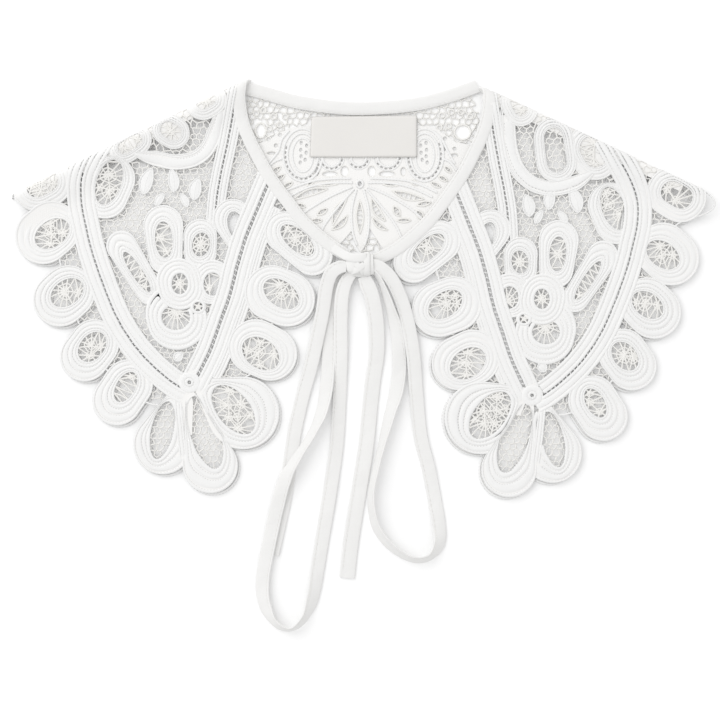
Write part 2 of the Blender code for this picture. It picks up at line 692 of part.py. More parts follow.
def pattern_outlines(design, neck_side):
    """Every closed outline of a panel, and what each is: body, gap or cut."""
    groups = (
        ("body", design["grounds"]),
        ("body", [ring(loop, 0) for loop in design["loops"]]),
        ("body", [offset_path(path, tape.width / 2) + offset_path(path, -tape.width / 2)[::-1]
                  for tape, path in design["tapes"]]),
        ("gap", design["gaps"]),
        ("cut", [neck_side]),
    )
    outlines = [counterclockwise(outline) for _kind, group in groups for outline in group]
    kinds = [kind for kind, group in groups for _outline in group]
    return outlines, kinds


def pattern_lines(design):
    """The lines along which the cords' raised backs are creased."""
    lines = []
    for loop in design["raised"]:
        for inset in (loop.band / 2, loop.band):
            points = ring(loop, inset)
            lines.append([*points, points[0]])
    for tape, path in design["tapes"]:
        shares = (-0.5, 0, 0.5) if tape.bands == 2 else (0,)
        lines += [offset_path(path, tape.width / 2 * share) for share in shares]
    for pad in design["pads"]:
        along = Vector((math.cos(math.radians(pad.angle)), math.sin(math.radians(pad.angle))))
        across = Vector((-along.y, along.x))
        middle = Vector((pad.x, pad.y))
        rim = [middle + along * point.x + across * point.y
               for point in oval(Vector((0, 0)), pad.length, pad.width)]
        lines += [[*rim, rim[0]], [middle - along * pad.length / 6, middle + along * pad.length / 6]]
    return lines


def crease_lines(folds, depths):
    """Lines across a panel along its folds, at each depth from them."""
    lines = []
    for fold in folds:
        along, inward = fold_axes(fold)
        for depth in depths:
            middle = Vector((fold.x, fold.y)) + inward * depth
            lines.append([middle - along * CREASE_REACH, middle + along * CREASE_REACH])
    return lines


def cut_out(design, outlines, kinds, lines, folds, edge_depth):
    """Triangulate a panel's pattern and keep the cloth of it, as one joined piece."""
    points, triangles = triangulate(outlines, lines)
    kept, spare = [], []
    for corners, owners in triangles:
        middle = sum((points[corner] for corner in corners), Vector((0, 0))) / 3
        found = {kinds[owner] for owner in owners}
        beyond = any(depth_from_fold(fold, middle) < edge_depth for fold in folds)
        if "body" not in found or "cut" in found or beyond:
            continue
        if "gap" in found and proud_at(design, middle) <= 0:
            spare.append(corners)
        else:
            kept.append(corners)
    return points, largest_piece(fill_pinches(largest_piece(kept), spare))


def underside(points, kept, rim, folds, depths):
    """Plain triangles for the underside, with no more corners than its rim and creases need."""
    creased = {corner for triangle in kept for corner in triangle
               if any(abs(depth_from_fold(fold, points[corner]) - depth) < WELD / 50
                      for fold in folds for depth in depths)}
    used = sorted({corner for edge in rim for corner in edge} | creased)
    number_of = {corner: number for number, corner in enumerate(used)}
    edges = {frozenset(edge) for edge in rim}
    edges |= {frozenset((triangle[side - 1], triangle[side])) for triangle in kept
              for side in range(3)
              if triangle[side - 1] in creased and triangle[side] in creased}
    _flat, _edges, floor, origins, _rows, _owners = delaunay_2d_cdt(
        [points[corner] for corner in used],
        [tuple(number_of[corner] for corner in edge) for edge in edges], [], 0, 1e-6)
    source = [used[origin[0]] for origin in origins]
    return source, inside_rim([tuple(source[corner] for corner in triangle)
                               for triangle in floor], rim)


def lace_sheet(name, design, folds, lay, neck_side, edge_depth, material):
    """One lace panel: its pattern triangulated, cut, laid in place and given its thickness."""
    half = NET / 2
    depths = depths_to_bend() if lay is lay_front else [edge_depth]
    outlines, kinds = pattern_outlines(design, neck_side)
    lines = pattern_lines(design) + crease_lines(folds, depths)
    points, kept = cut_out(design, outlines, kinds, lines, folds, edge_depth)
    rim = border_edges(kept)
    source, floor = underside(points, kept, rim, folds, depths)

    mesh = bmesh.new()
    top = {corner: mesh.verts.new(MM * lay(folds[0], points[corner], half,
                                           proud_at(design, points[corner]), half))
           for corner in sorted({corner for triangle in kept for corner in triangle})}
    bottom = {corner: mesh.verts.new(MM * lay(folds[0], points[corner], -half, 0, half))
              for corner in source}
    for triangle in kept:
        mesh.faces.new([top[corner] for corner in triangle])
    for triangle in floor:
        mesh.faces.new([bottom[corner] for corner in reversed(triangle)])
    for start, end in rim:
        mesh.faces.new((top[end], top[start], bottom[start], bottom[end]))
    loose = [vert for vert in mesh.verts if not vert.link_faces]
    bmesh.ops.delete(mesh, geom=loose, context="VERTS")
    return finish(name, mesh, material)


# ---- Binding, label, knot and ties ---------------------------------------------------------

def finish(name, mesh, material):
    """Make a named object from a mesh, over the model's origin, and give it its material."""
    bmesh.ops.translate(mesh, verts=mesh.verts, vec=(-MIDDLE_X * MM, -MIDDLE_Y * MM, 0))
    bmesh.ops.triangulate(mesh, faces=mesh.faces)
    data = bpy.data.meshes.new(name)
    mesh.to_mesh(data)
    mesh.free()
    data.materials.append(material)
    data.shade_smooth()
    data.set_sharp_from_angle(angle=math.radians(40))
    piece = bpy.data.objects.new(name, data)
    bpy.data.collections["lace_collar"].objects.link(piece)
    return piece


def loft(name, sections, material):
    """A closed solid through sections that all have the same number of points."""
    mesh = bmesh.new()
    rows = [[mesh.verts.new(point * MM) for point in section] for section in sections]
    count = len(rows[0])
    for before, after in zip(rows, rows[1:]):
        for number in range(count):
            following = (number + 1) % count
            mesh.faces.new((before[number], before[following], after[following], after[number]))
    mesh.faces.new(rows[0][::-1])
    mesh.faces.new(rows[-1])
    bmesh.ops.recalc_face_normals(mesh, faces=mesh.faces)
    return finish(name, mesh, material)


def folded_rows(lines, fold, depths):
    """Points across a strip: its own stations, then one row for each depth at the fold."""
    rows = [row for row in zip(*lines)
            if min(depth_from_fold(fold, place) for place in row) > depths[0] + BINDING_STEP / 2]
    return rows + [[at_depth(line, fold, depth + 1e-6) for line in lines] for depth in depths]


BINDING_PROFILE = ((-1.0, 0.0), (-0.8, -1.0), (0.8, -1.0), (1.0, 0.0), (0.8, 1.0), (-0.8, 1.0))


def binding(name, rows, fold, lay, material):
    """A strip of bias binding, folded round the lace's raw edge."""
    sections = [[lay(fold, place, up * BINDING_THICK / 2, 0, BINDING_THICK / 2)
                 for place, (_across, up) in zip(row, BINDING_PROFILE)] for row in rows]
    return loft(name, sections, material)


def front_binding(name, points, fold, material):
    """The binding of one front, from the bow up to the shoulder and round its fold."""
    path = smooth_path(points, BINDING_STEP)
    lines = [offset_path(path, across * BINDING_HALF) for across, _up in BINDING_PROFILE]
    return binding(name, folded_rows(lines, fold, depths_to_bend()), fold, lay_front, material)


def back_binding(name, points, material):
    """The binding across the back, which meets the two rolled ends at the shoulders."""
    path = smooth_path(points, BINDING_STEP)
    lines = [offset_path(path, across * BINDING_HALF) for across, _up in BINDING_PROFILE]
    for fold in (RIGHT_FOLD, LEFT_FOLD):
        rows = folded_rows(lines, fold, [ROLL + SEAM_GAP])
        lines = [list(reversed(line)) for line in zip(*rows)]
    return binding(name, list(zip(*lines)), None, lay_back, material)


def label(material):
    """The woven label, flat on the back lace below the binding."""
    mesh = bmesh.new()
    low = [mesh.verts.new(Vector((x, y, LABEL_LIFT)) * MM) for x, y in LABEL_CORNERS]
    high = [mesh.verts.new(Vector((x, y, LABEL_LIFT + LABEL_THICK)) * MM)
            for x, y in LABEL_CORNERS]
    mesh.faces.new(low[::-1])
    mesh.faces.new(high)
    for number in range(4):
        following = (number + 1) % 4
        mesh.faces.new((low[number], low[following], high[following], high[number]))
    return finish("label", mesh, material)


def knot(material):
    """The bow's knot: a rounded lump with the turns of the tie standing round it."""
    mesh = bmesh.new()
    bmesh.ops.create_uvsphere(mesh, u_segments=18, v_segments=10, radius=1.0)
    for vert in mesh.verts:
        x, y, z = vert.co
        square = (abs(x) ** 3.2 + abs(y) ** 3.2 + abs(z) ** 3.2) ** (-1 / 3.2)
        turns = abs(math.sin(KNOT_BANDS * math.pi * (y + 1) / 2)) * (1 - x * x)
        for axis, size in enumerate(KNOT_SIZE):
            ridge = 1 + KNOT_RIDGE / size * turns
            vert.co[axis] = (KNOT_CENTRE[axis]
                             + vert.co[axis] * square * size / 2 * ridge) * MM
    return finish("bow_knot", mesh, material)


def tie(name, stops, material):
    """One flat tape of the bow, swept along its stops and rolled about its own line."""
    path = smooth_path([(stop.x, stop.y, stop.z) for stop in stops], TIE_STEP)
    spans = [max(1, round((Vector(after[:3]) - Vector(before[:3])).length / TIE_STEP))
             for before, after in zip(stops, stops[1:])]
    shape = []
    for before, after, count in zip(stops, stops[1:], spans):
        for number in range(count):
            share = ease(number / count)
            shape.append((before.width + (after.width - before.width) * share,
                          before.turn + (after.turn - before.turn) * share))
    shape.append((stops[-1].width, stops[-1].turn))
    sections = []
    for number, (point, (width, turn)) in enumerate(zip(path, shape)):
        along = (path[min(number + 1, len(path) - 1)] - path[max(number - 1, 0)]).normalized()
        level = Vector((-along.y, along.x, 0)).normalized()
        upright = along.cross(level).normalized()
        angle = math.radians(turn)
        lift = width / 2 * abs(math.sin(angle)) + TIE_THICK / 2 + FLOOR_GAP
        point.z = max(point.z, lift)
        side = level * math.cos(angle) + upright * math.sin(angle)
        face = upright * math.cos(angle) - level * math.sin(angle)
        sections.append([point + side * (width / 2 * across) + face * (TIE_THICK / 2 * up)
                         for across, up in ((-1, -1), (1, -1), (1, 1), (-1, 1))])
    return loft(name, sections, material)


def lace_edge(points, side):
    """The lace's edge along a binding, which lies on this side of it (1 is its left)."""
    return offset_path(smooth_path(points, BINDING_STEP), side * (BINDING_HALF + SEAM_GAP))


def build():
    """Make the collection and every piece in it."""
    collection = bpy.data.collections.new("lace_collar")
    bpy.context.scene.collection.children.link(collection)
    lace = cloth("lace_cotton", (0.90, 0.89, 0.87), 0.85)
    bias = cloth("bias_cotton", (0.88, 0.86, 0.82), 0.8)
    woven = cloth("label_satin", (0.72, 0.69, 0.65), 0.5)

    lace_sheet("lace_front_left", front_design(False), [LEFT_FOLD], lay_front,
               [*lace_edge(NECK_LEFT, 1), *CLEAR_OF_LEFT], ROLL_END, lace)
    lace_sheet("lace_front_right", front_design(True), [RIGHT_FOLD], lay_front,
               [*lace_edge(NECK_RIGHT, -1), *CLEAR_OF_RIGHT], ROLL_END, lace)
    lace_sheet("lace_back", back_design(), [LEFT_FOLD, RIGHT_FOLD], lay_back,
               [*lace_edge(NECK_BACK, -1), *CLEAR_OF_BACK], ROLL + SEAM_GAP, lace)
    front_binding("binding_front_left", NECK_LEFT, LEFT_FOLD, bias)
    front_binding("binding_front_right", NECK_RIGHT, RIGHT_FOLD, bias)
    back_binding("binding_back", NECK_BACK, bias)
    label(woven)
    knot(bias)
    for name, stops in TIES.items():
        tie(name, stops, bias)


clear_scene()
build()
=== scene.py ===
"""A lace collar laid flat and tied in a bow: tape lace fronts over a tape lace back, a bound neck."""

import math
import random
from collections import defaultdict, namedtuple

import bmesh
import bpy
import numpy as np
from mathutils import Matrix, Vector
from mathutils.geometry import delaunay_2d_cdt


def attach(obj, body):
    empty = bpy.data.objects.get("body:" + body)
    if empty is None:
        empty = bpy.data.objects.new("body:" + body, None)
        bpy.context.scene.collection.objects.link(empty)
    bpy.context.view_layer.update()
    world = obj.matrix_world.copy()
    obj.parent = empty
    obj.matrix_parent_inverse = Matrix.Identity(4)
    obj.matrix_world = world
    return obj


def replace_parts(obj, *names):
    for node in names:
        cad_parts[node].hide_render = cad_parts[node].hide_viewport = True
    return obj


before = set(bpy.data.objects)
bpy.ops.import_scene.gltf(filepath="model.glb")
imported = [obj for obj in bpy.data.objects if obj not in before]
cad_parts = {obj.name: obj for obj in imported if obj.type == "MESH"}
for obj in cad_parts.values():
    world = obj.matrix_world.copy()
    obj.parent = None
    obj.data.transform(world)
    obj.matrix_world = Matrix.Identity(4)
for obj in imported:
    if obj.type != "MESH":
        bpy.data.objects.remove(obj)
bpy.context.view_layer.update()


# ---- The table, the light and the camera ---------------------------------------------------
# The collar lies on a pale table under a large soft light from the upper left and an even white
# room. The camera looks straight down on it.

MM = 0.001
TABLE_DROP = 0.0002
TABLE_REACH = 3
TABLE_WHITE = (0.95, 0.95, 0.95)
CAMERA_PLACE = (-0.00017, -0.04507, 1.105)
CAMERA_LENS = 85.0
KEY_PLACE = (-1.5, 1.5, 1.9)
KEY_SIZE = 3.0
KEY_POWER = 46.0
ROOM_STRENGTH = 0.86
VIEW_GAMMA = 1.3
NODE_FAMILIES = ("ShaderNode", "GeometryNode", "FunctionNode", "Node")


class Out:
    """A node's output. A sum with it adds the math nodes that work it out."""

    def __init__(self, socket):
        self.socket = socket

    def __getitem__(self, name):
        return Out(self.socket.node.outputs[name])


def add_node(tree, kind, *values, **named):
    """Add a node of a kind, without its family's name, and return its first output.

    Values go to its inputs in order. A name with a capital is an input's, with _ for a space,
    and any other is a setting's. A value is a number, a colour or another node's output.
    """
    node = tree.nodes.new(next(family + kind for family in NODE_FAMILIES
                               if hasattr(bpy.types, family + kind)))
    inputs = dict(enumerate(values))
    for name, value in named.items():
        if name.islower():
            setattr(node, name, value)
        else:
            inputs[name.replace("_", " ")] = value
    for key, value in inputs.items():
        if isinstance(value, Out):
            tree.links.new(value.socket, node.inputs[key])
        else:
            node.inputs[key].default_value = value
    return Out(node.outputs[0]) if node.outputs else None


def calc(operation, *values, kind="Math"):
    """The output of a math node on these values, at least one of them a node's output."""
    tree = next(value for value in values if isinstance(value, Out)).socket.id_data
    return add_node(tree, kind, *values, operation=operation)


for sign, operation in (("add", "ADD"), ("sub", "SUBTRACT"), ("mul", "MULTIPLY"),
                        ("truediv", "DIVIDE")):
    setattr(Out, f"__{sign}__", lambda one, other, name=operation: calc(name, one, other))
    setattr(Out, f"__r{sign}__", lambda one, other, name=operation: calc(name, other, one))


def new_material(name, colour, roughness):
    """A material with its tree, its shader and a plain colour and roughness to build on."""
    material = bpy.data.materials.new(name)
    material.use_nodes = True
    shader = material.node_tree.nodes["Principled BSDF"]
    shader.inputs["Base Color"].default_value = (*colour, 1.0)
    shader.inputs["Roughness"].default_value = roughness
    shader.inputs["Metallic"].default_value = 0.0
    return material, material.node_tree, shader


def new_object(name, data):
    """A new object in the scene, at the origin."""
    piece = bpy.data.objects.new(name, data)
    bpy.context.scene.collection.objects.link(piece)
    return piece


camera_data = bpy.data.cameras.new("camera")
camera_data.lens = CAMERA_LENS
camera_data.sensor_width = 36.0
camera = new_object("camera", camera_data)
camera.location = CAMERA_PLACE
bpy.context.scene.camera = camera
bpy.context.scene.view_settings.view_transform = "Standard"
bpy.context.scene.view_settings.gamma = VIEW_GAMMA

key_data = bpy.data.lights.new("key", "AREA")
key_data.shape = "DISK"
key_data.size = KEY_SIZE
key_data.energy = KEY_POWER
key = new_object("key", key_data)
key.location = KEY_PLACE
key.rotation_euler = (-Vector(KEY_PLACE)).to_track_quat("-Z", "Y").to_euler()

room = bpy.data.worlds.new("room")
room.use_nodes = True
room.node_tree.nodes["Background"].inputs["Color"].default_value = (1.0, 1.0, 1.0, 1.0)
room.node_tree.nodes["Background"].inputs["Strength"].default_value = ROOM_STRENGTH
bpy.context.scene.world = room

table_finish, tree, shader = new_material("table_white", TABLE_WHITE, 0.9)
mottle = add_node(tree, "TexNoise", Vector=add_node(tree, "TexCoord")["Object"], Scale=9.0,
                  Detail=2.0)["Fac"]
tone = add_node(tree, "MapRange", Value=mottle, To_Min=0.945, To_Max=0.955)
tree.links.new(tone.socket, shader.inputs["Base Color"])
table_data = bpy.data.meshes.new("table")
table_data.from_pydata([(x * TABLE_REACH, y * TABLE_REACH, -TABLE_DROP)
                        for x, y in ((-1, -1), (1, -1), (1, 1), (-1, 1))], [], [(0, 1, 2, 3)])
table_data.materials.append(table_finish)
new_object("table", table_data)


# ---- The back lace -------------------------------------------------------------------------
# The back panel is tape lace in white cotton: ridged tapes bent into rings and petals, with net
# worked between them in the neck, all in one layer. It lies flat on the table, wrong side up in
# the neck, with the same scallops round its edge as the fronts.

# The paper pattern's origin lies this far from the model's, in millimetres like all that follows.
PATTERN_X = 0.81
PATTERN_Y = 0.43

# Heights above the panel's own underside.
NET = 1.0
CORD = 0.8
SEAM_GAP = 0.3
LAYER = NET + CORD + SEAM_GAP
THREAD_MIDDLE = 0.9

# The shoulder fold: the fronts roll round an axis above the table, and settle on the back within
# the rise. The relief dies out within this share of the roll.
ROLL = 3.0
ROLL_AXIS = NET / 2 + ROLL
ROLL_GIRTH = math.pi * ROLL
ROLL_END = ROLL - ROLL_GIRTH
RISE = 22.0
PROUD_TURN = 0.75

Fold = namedtuple("Fold", "x y angle")
LEFT_FOLD = Fold(-110.0, 118.5, 26.2)
RIGHT_FOLD = Fold(73.5, 133.5, -25.0)

# The right front is the left one's mirror image, laid a little smaller and turned.
Lay = namedtuple("Lay", "xx xy x0 yx yy y0")
RIGHT_LAY = Lay(-0.959, 0.016, 4.0, 0.032, 0.961, -4.9)
RIGHT_SCALE = 0.96
BACK_LEFT_SHIFT = (1.2, -1.4)
BACK_RIGHT_SHIFT = (-1.6, -1.4)

# A loop is a band worked round two circles: a ring, an oval or a petal. Its band is of one width,
# or its opening is an oval of its own, so that the band's width changes round it. On the right
# front it lies a little off the mirror image of the left one.
Opening = namedtuple("Opening", "x y long wide angle")
Loop = namedtuple("Loop", "name x0 y0 r0 x1 y1 r1 right_x right_y opening band",
                  defaults=(0, 0, None, None))
SCALLOPS = (
    Loop("outer_0", -209.5, 66.5, 16, -203, 70, 16, 0.9, 7.2, band=9),
    Loop("outer_1", -206.5, 34.5, 18, -200.5, 39.5, 18, -1.5, -1, Opening(-200.5, 36.4, 12.2, 8.3, 35)),
    Loop("outer_2", -195.5, -6.5, 17.5, -190, -1.5, 17.5, -1.5, 3, Opening(-190.8, -1.9, 11.5, 8, 35)),
    Loop("outer_3", -179.5, -43.5, 16, -173, -35, 16, 0, 3, Opening(-174.5, -37, 10.8, 7.6, 50)),
    Loop("outer_4", -158.5, -72, 16, -151, -61, 16, 2, -3, Opening(-152.8, -63, 10.7, 6, 60)),
    Loop("tip_left", -118, -73, 9.5, -128.7, -100.5, 19.2, -2, -0.5, Opening(-129, -91, 19, 7.1, 78)),
    Loop("tip_mid", -110, -70, 4, -98, -114, 18, -0.5, 1, Opening(-101.4, -92.3, 24.5, 9.5, -72)),
    Loop("tip_right", -104, -62.5, 5, -76.8, -79.8, 23.6, 1, 1, Opening(-82.9, -77.7, 18.5, 10.4, -52)),
    Loop("front_3", -68.5, -37, 18, -59, -41.5, 17.5, 3, -1, Opening(-65.3, -41.3, 13, 9.4, -35)),
    Loop("front_2", -58, -2, 18, -48, -6, 18, 0.5, -0.5, Opening(-52, -2.6, 12.7, 8.1, -35)),
    Loop("front_1", -49.5, 37.5, 13.5, -31.5, 22, 13, -1, 2, Opening(-41.6, 32.2, 13.2, 6.5, -42)),
)
FLOWER = (
    Loop("upper", -166, 60.5, 14.5, -161, 72, 14.5, 1.5, -4, Opening(-163.5, 69.6, 15, 7.8, 70)),
    Loop("petal_1", -155.5, 28.5, 10, -137, -1.5, 8.5, 3, 4.5, Opening(-145.5, 11.5, 15.5, 3.5, -57)),
    Loop("petal_2", -128.5, 42, 13, -127, 21, 11, 0, 1, Opening(-128, 32.5, 11.7, 5.6, 94)),
    Loop("petal_3", -104.5, 35, 11, -104.5, 23.5, 10.5, -1.5, -2, Opening(-104, 29.3, 7.8, 5.6, 80)),
    Loop("petal_4", -83.5, 46, 13, -77, 28.5, 8, -1, 2.5, Opening(-81.3, 41.6, 9.4, 5.2, -75)),
    Loop("heart_1", -118.5, 6, 14.5, -117.5, 1.5, 14.5, 0, -1, Opening(-117.7, 3.9, 6.8, 5.2, 90)),
    Loop("heart_2", -96.5, 6, 13.5, -97, 4, 13.5, -0.5, -0.5, Opening(-96.5, 3.6, 7.5, 5.8, 90)),
    Loop("heart_3", -121, -15, 19, -119.5, -19.5, 19.5, 0.5, -1.5, Opening(-120.3, -17.9, 9.2, 8, 0)),
    Loop("eyelet", -106.4, -10.9, 4.8, -105.4, -10.9, 4.8, 0, 0, Opening(-105.9, -10.9, 2.9, 2.9, 0)),
    Loop("hub", -112, -59.8, 6.8, -111, -60.2, 6.8, 0.6, -2.3, Opening(-111.5, -60, 1.3, 1.3, 0)),
    Loop("fold_1", -102.5, 121, 11.5, -98, 123, 11, band=7),
    Loop("fold_2", -125, 103.5, 10.5, -121.5, 101.5, 10.5, band=5.5),
    Loop("fold_3", -153.5, 91.5, 10, -145.5, 97, 10, band=6),
)

# A tape is one band, or two side by side with a laddered seam of this width between them. Its
# points are its middle. `taper` is how far from its ends it begins to narrow, to these shares of
# its width.
Tape = namedtuple("Tape", "name width seam taper points")
TAPER_START = 0.16
TAPER_END = 0.55
TAPES = (
    Tape("strap_outer", 18, 1.1, 0, (
        (-159, 113), (-168, 98), (-176, 84.5), (-181, 71.5), (-181.5, 57), (-179, 43), (-175, 26),
        (-168, 5), (-159, -17), (-149, -33.5), (-138, -46.5), (-124.5, -58.5), (-113, -66))),
    Tape("strap_inner", 18, 2.1, 0, (
        (-56, 79), (-61, 67.5), (-67.5, 52), (-74.5, 35), (-80.5, 15.5), (-85, -2.5), (-91.5, -21),
        (-98, -39), (-105.5, -54.5), (-110, -63))),
    Tape("stem", 12, 1.2, 0, (
        (-76.5, 148), (-80, 130), (-83.5, 112), (-87, 94), (-90.5, 78), (-93.2, 63),
        (-94.5, 50), (-95, 41))),
    Tape("crescent", 10, 0, 18, (
        (-148, 88.5), (-141.5, 86.6), (-132, 84.8), (-120.6, 82.8), (-108.2, 85), (-99.8, 92),
        (-94.6, 104), (-90.7, 118.3))),
    Tape("follower", 5.6, 0, 0, (
        (-54.5, 53), (-56.8, 48), (-63.8, 31), (-69.5, 12), (-74, -6), (-80.8, -25.5),
        (-87.8, -44), (-92.5, -54), (-99, -66))),
    Tape("vein", 4.8, 0, 0, ((-119.5, -66), (-117.5, -90), (-115.5, -108))),
)
# Along its shoulder fold the right front differs from the left one.
RIGHT_LOOPS = {loop.name: loop for loop in (
    Loop("fold_1", 100.5, 121.5, 11, 103, 116.5, 11, band=6.5),
    Loop("fold_2", 124, 98.5, 12.5, 126.5, 82.5, 13, band=6.6),
    Loop("fold_3", 148.5, 91.5, 15.5, 151.5, 86.5, 15.5, band=8))}
RIGHT_CRESCENT = (
    (151.5, 77.5), (145.8, 73.3), (136.6, 68.4), (123.3, 65.6), (111, 68.6), (101.8, 77),
    (96.6, 89.4), (94.6, 105.8), (94.2, 130))
FRONT_ORDER = ("hub", "strap_inner", "strap_outer", "vein", "tip_mid", "tip_left", "tip_right",
               "eyelet", "heart_1", "heart_2", "heart_3", "petal_4", "petal_3", "stem", "fold_1",
               "crescent", "petal_2", "petal_1", "upper", "fold_2", "fold_3", "front_3",
               "front_2", "front_1", "follower", "outer_4", "outer_3", "outer_2", "outer_1",
               "outer_0")

# The lace ground that joins loops and tapes, by the corners of its outline.
GROUND = (
    (-78, 150), (-226, 79), (-207, 55), (-200, 38), (-190, -3), (-175, -38), (-153, -64),
    (-130, -75), (-98, -66), (-76, -57), (-62, -44), (-52, -4), (-42, 28), (-20, 28), (-55, 66),
    (-76, 108),
)
BACK_GROUND = (
    (-82, 134), (-60, 127), (-28, 119), (0, 117), (30, 119.5), (62, 127.5), (82, 136), (88, 112),
    (72, 78), (56, 54), (38, 34), (22, 22), (10, 26), (3, 24.3), (-5, 24.3), (-12, 22), (-26, 28),
    (-44, 44), (-60, 66), (-74, 90), (-84, 112),
)

# The back's own middle, seen in the neck: a fan of petals worked solid under two arches, with
# slots between the petals, a row of small solid scallops, and a solid oval at each side.
FAN = (
    (-52, 61.5), (-47, 62.9), (-38.7, 67.1), (-29.1, 70.3), (-17.2, 71.6), (-5.3, 71.8), (-3, 74.5),
    (1, 74.5), (3, 71.8), (14, 71.6), (26, 70.3), (36, 67.1), (46, 62.5), (52.5, 59), (44.5, 45.5),
    (34, 35.3), (22, 26.5), (15, 25), (5, 40.5), (2.5, 29), (-0.5, 24.3), (-3.5, 29), (-6, 39),
    (-16, 27.5), (-21.5, 30), (-30, 37), (-39, 45.5), (-47, 56),
)
Slot = namedtuple("Slot", "x0 y0 x1 y1 width bow", defaults=(0,))
FAN_SLOTS = (
    Slot(-44.6, 58.4, -21.5, 65.6, 3, 1.4), Slot(-42.2, 55.6, -36, 53.9, 1.5),
    Slot(-29, 48.6, -22, 53, 2.2), Slot(-33, 45.1, -25, 45.1, 1.5),
    Slot(-18.7, 42, -9.3, 59.6, 3.2, 1.8), Slot(-19.6, 39, -8.9, 48.8, 2.4, -1.4),
    Slot(-31.5, 68.2, -14.5, 69, 1.2, 0.2), Slot(-1.2, 58.4, -1, 36.4, 3.4),
    Slot(6.4, 60.2, 15.9, 44.4, 3.2, -1.7), Slot(6.8, 47.8, 17.4, 38.6, 2, -1.4),
    Slot(20.7, 54.6, 25, 47.6, 3), Slot(22.5, 45.2, 32.4, 45.2, 1.5),
    Slot(13.5, 68.6, 25, 68.2, 1.3, 0.2), Slot(19.8, 64.4, 41, 59, 3.4, -1),
    Slot(35.5, 55, 45.5, 57, 1.9), Slot(35.6, 51.9, 40.4, 45.4, 2.8),
    Slot(-59, 75.5, -52.2, 80.2, 1.9), Slot(-56.2, 71, -49.6, 74.8, 1.8),
    Slot(-51.4, 66, -44.4, 70, 1.8), Slot(53.6, 80.4, 58.6, 76, 1.8), Slot(49.8, 74, 56, 70.6, 1.9),
    Slot(44.6, 70, 51.6, 66.6, 1.8), Slot(-35.4, 67.8, -30.6, 71.4, 1.6),
    Slot(31.4, 71.4, 36.6, 68, 1.6),
)
FAN_RIDGES = (
    ((-49.5, 64.2), (-40, 68), (-30, 71), (-18, 72.2), (-7, 72.4)),
    ((49, 63.2), (39, 68), (29, 71), (17, 72.1), (6, 72.4)),
    ((-60.5, 82), (-54, 90), (-52, 97.5), (-47, 103.5)), ((60.5, 82), (56, 90), (52, 98), (47, 103)),
    ((-62, 77.5), (-57, 83), (-51, 85.5)), ((62, 77.5), (57.5, 83), (52, 85.5)),
    ((-47, 60.5), (-38.2, 65), (-29, 68.2), (-17, 69.6), (-6, 69.6)),
    ((46, 60.3), (36, 65), (26, 68.2), (14, 69.6), (4, 69.6)),
    ((-3.4, 65), (-6.4, 52), (-5.8, 38), (-3, 29)), ((1.4, 65), (4.6, 52), (4.4, 38), (2, 29)),
    ((-6, 67), (-20, 60.8), (-34, 52.5), (-41, 47)), ((4, 67), (18, 61), (32, 52.5), (40, 45.5)),
    ((-5, 65.5), (-15, 54), (-23.5, 43), (-27, 36)), ((3, 65.5), (13, 54), (21.5, 43), (26, 34)),
)
# The field round the fan, worked solid too, up to the net in the corners of the neck.
FIELD = (
    (-68, 95), (-60, 97), (-54, 102), (-46, 105), (-30, 107), (34, 107), (47, 105.5), (54, 101),
    (61, 96), (71, 94), (66, 79), (58, 65), (52.5, 58), (20, 60), (-20, 60), (-52, 60), (-60, 72),
)
Oval = namedtuple("Oval", "x y half_width half_height")
SIDE_OVALS = (Oval(-38.2, 87.5, 11.2, 15.5), Oval(41.0, 87.5, 10.6, 15.5))
SMALL_SCALLOPS = (Oval(-19.5, 85.6, 7.0, 7.0), Oval(-1.9, 85.6, 6.2, 6.2),
                  Oval(17.0, 86.6, 8.0, 8.0))
OVAL_HOLE = (1.1, 1.4)
OVAL_HOLES = ((-2.6, 6.2), (0.9, 8.0), (1.2, 3.4), (-2.3, 1.6), (1.0, -0.8), (-1.6, -3.0), (1.6, -4.8))
HUB_RING = Oval(-1.1, 68.8, 3.0, 3.4)
HUB_HOLE = Oval(-1.1, 68.8, 1.4, 1.9)
EYELET = 1.5
EYELET_RIM_RADIUS = 1.9
RING_EYELETS = (
    (-68.5, 114.8), (-63.6, 116.6), (-57.1, 112.6), (-53, 107.4), (-60.1, 104.6), (-53, 100.8),
    (-49.6, 112.6), (-55.6, 93.8), (-60.4, 97.8), (52.2, 113.4), (56.6, 106.6), (50.6, 105.4),
    (58.4, 115.6), (54.3, 98.3), (60.4, 91.6), (53.6, 91.4), (64.6, 115.4), (70.6, 112.6),
)

# The cords of the fan: half width, half height, and how far their middle lies above the table.
# Below them, the short holes round the ovals, and the cords and bars of the slots.
Thread = namedtuple("Thread", "half height lift")
SLOT_RIM = Thread(0.62, 0.62, 1.32)
SLOT_BAR = Thread(0.4, 0.42, 0.8)
FAN_RIDGE = Thread(0.85, 0.75, 1.3)
FAN_RIDGE_STEP = 1.8
HOLE_RIM = Thread(0.62, 0.5, 0.85)
EYELET_RIM = Thread(0.55, 0.5, 0.8)
Rim = namedtuple("Rim", "ovals grow thread")
FAN_RIMS = (
    Rim(SIDE_OVALS + SMALL_SCALLOPS, -1.3, Thread(0.8, 0.7, 1.3)),
    Rim(SMALL_SCALLOPS, 1.1, Thread(0.5, 0.5, 1.2)), Rim(SIDE_OVALS, 1.6, Thread(0.8, 0.7, 1.25)),
    Rim(SIDE_OVALS, -4.4, Thread(0.75, 0.7, 1.2)), Rim((HUB_RING,), -0.9, Thread(0.9, 0.9, 1.3)),
)
SIDE_DASHES = (150, 390)
SMALL_DASHES = (195, 352)
DASH_APART = 3.1
DASH_LONG = 1.1
DASH_WIDE = 0.62
SLOT_RIM_APART = 1.3
SLOT_BARS_APART = 3.6
SLOT_STEPS = 8

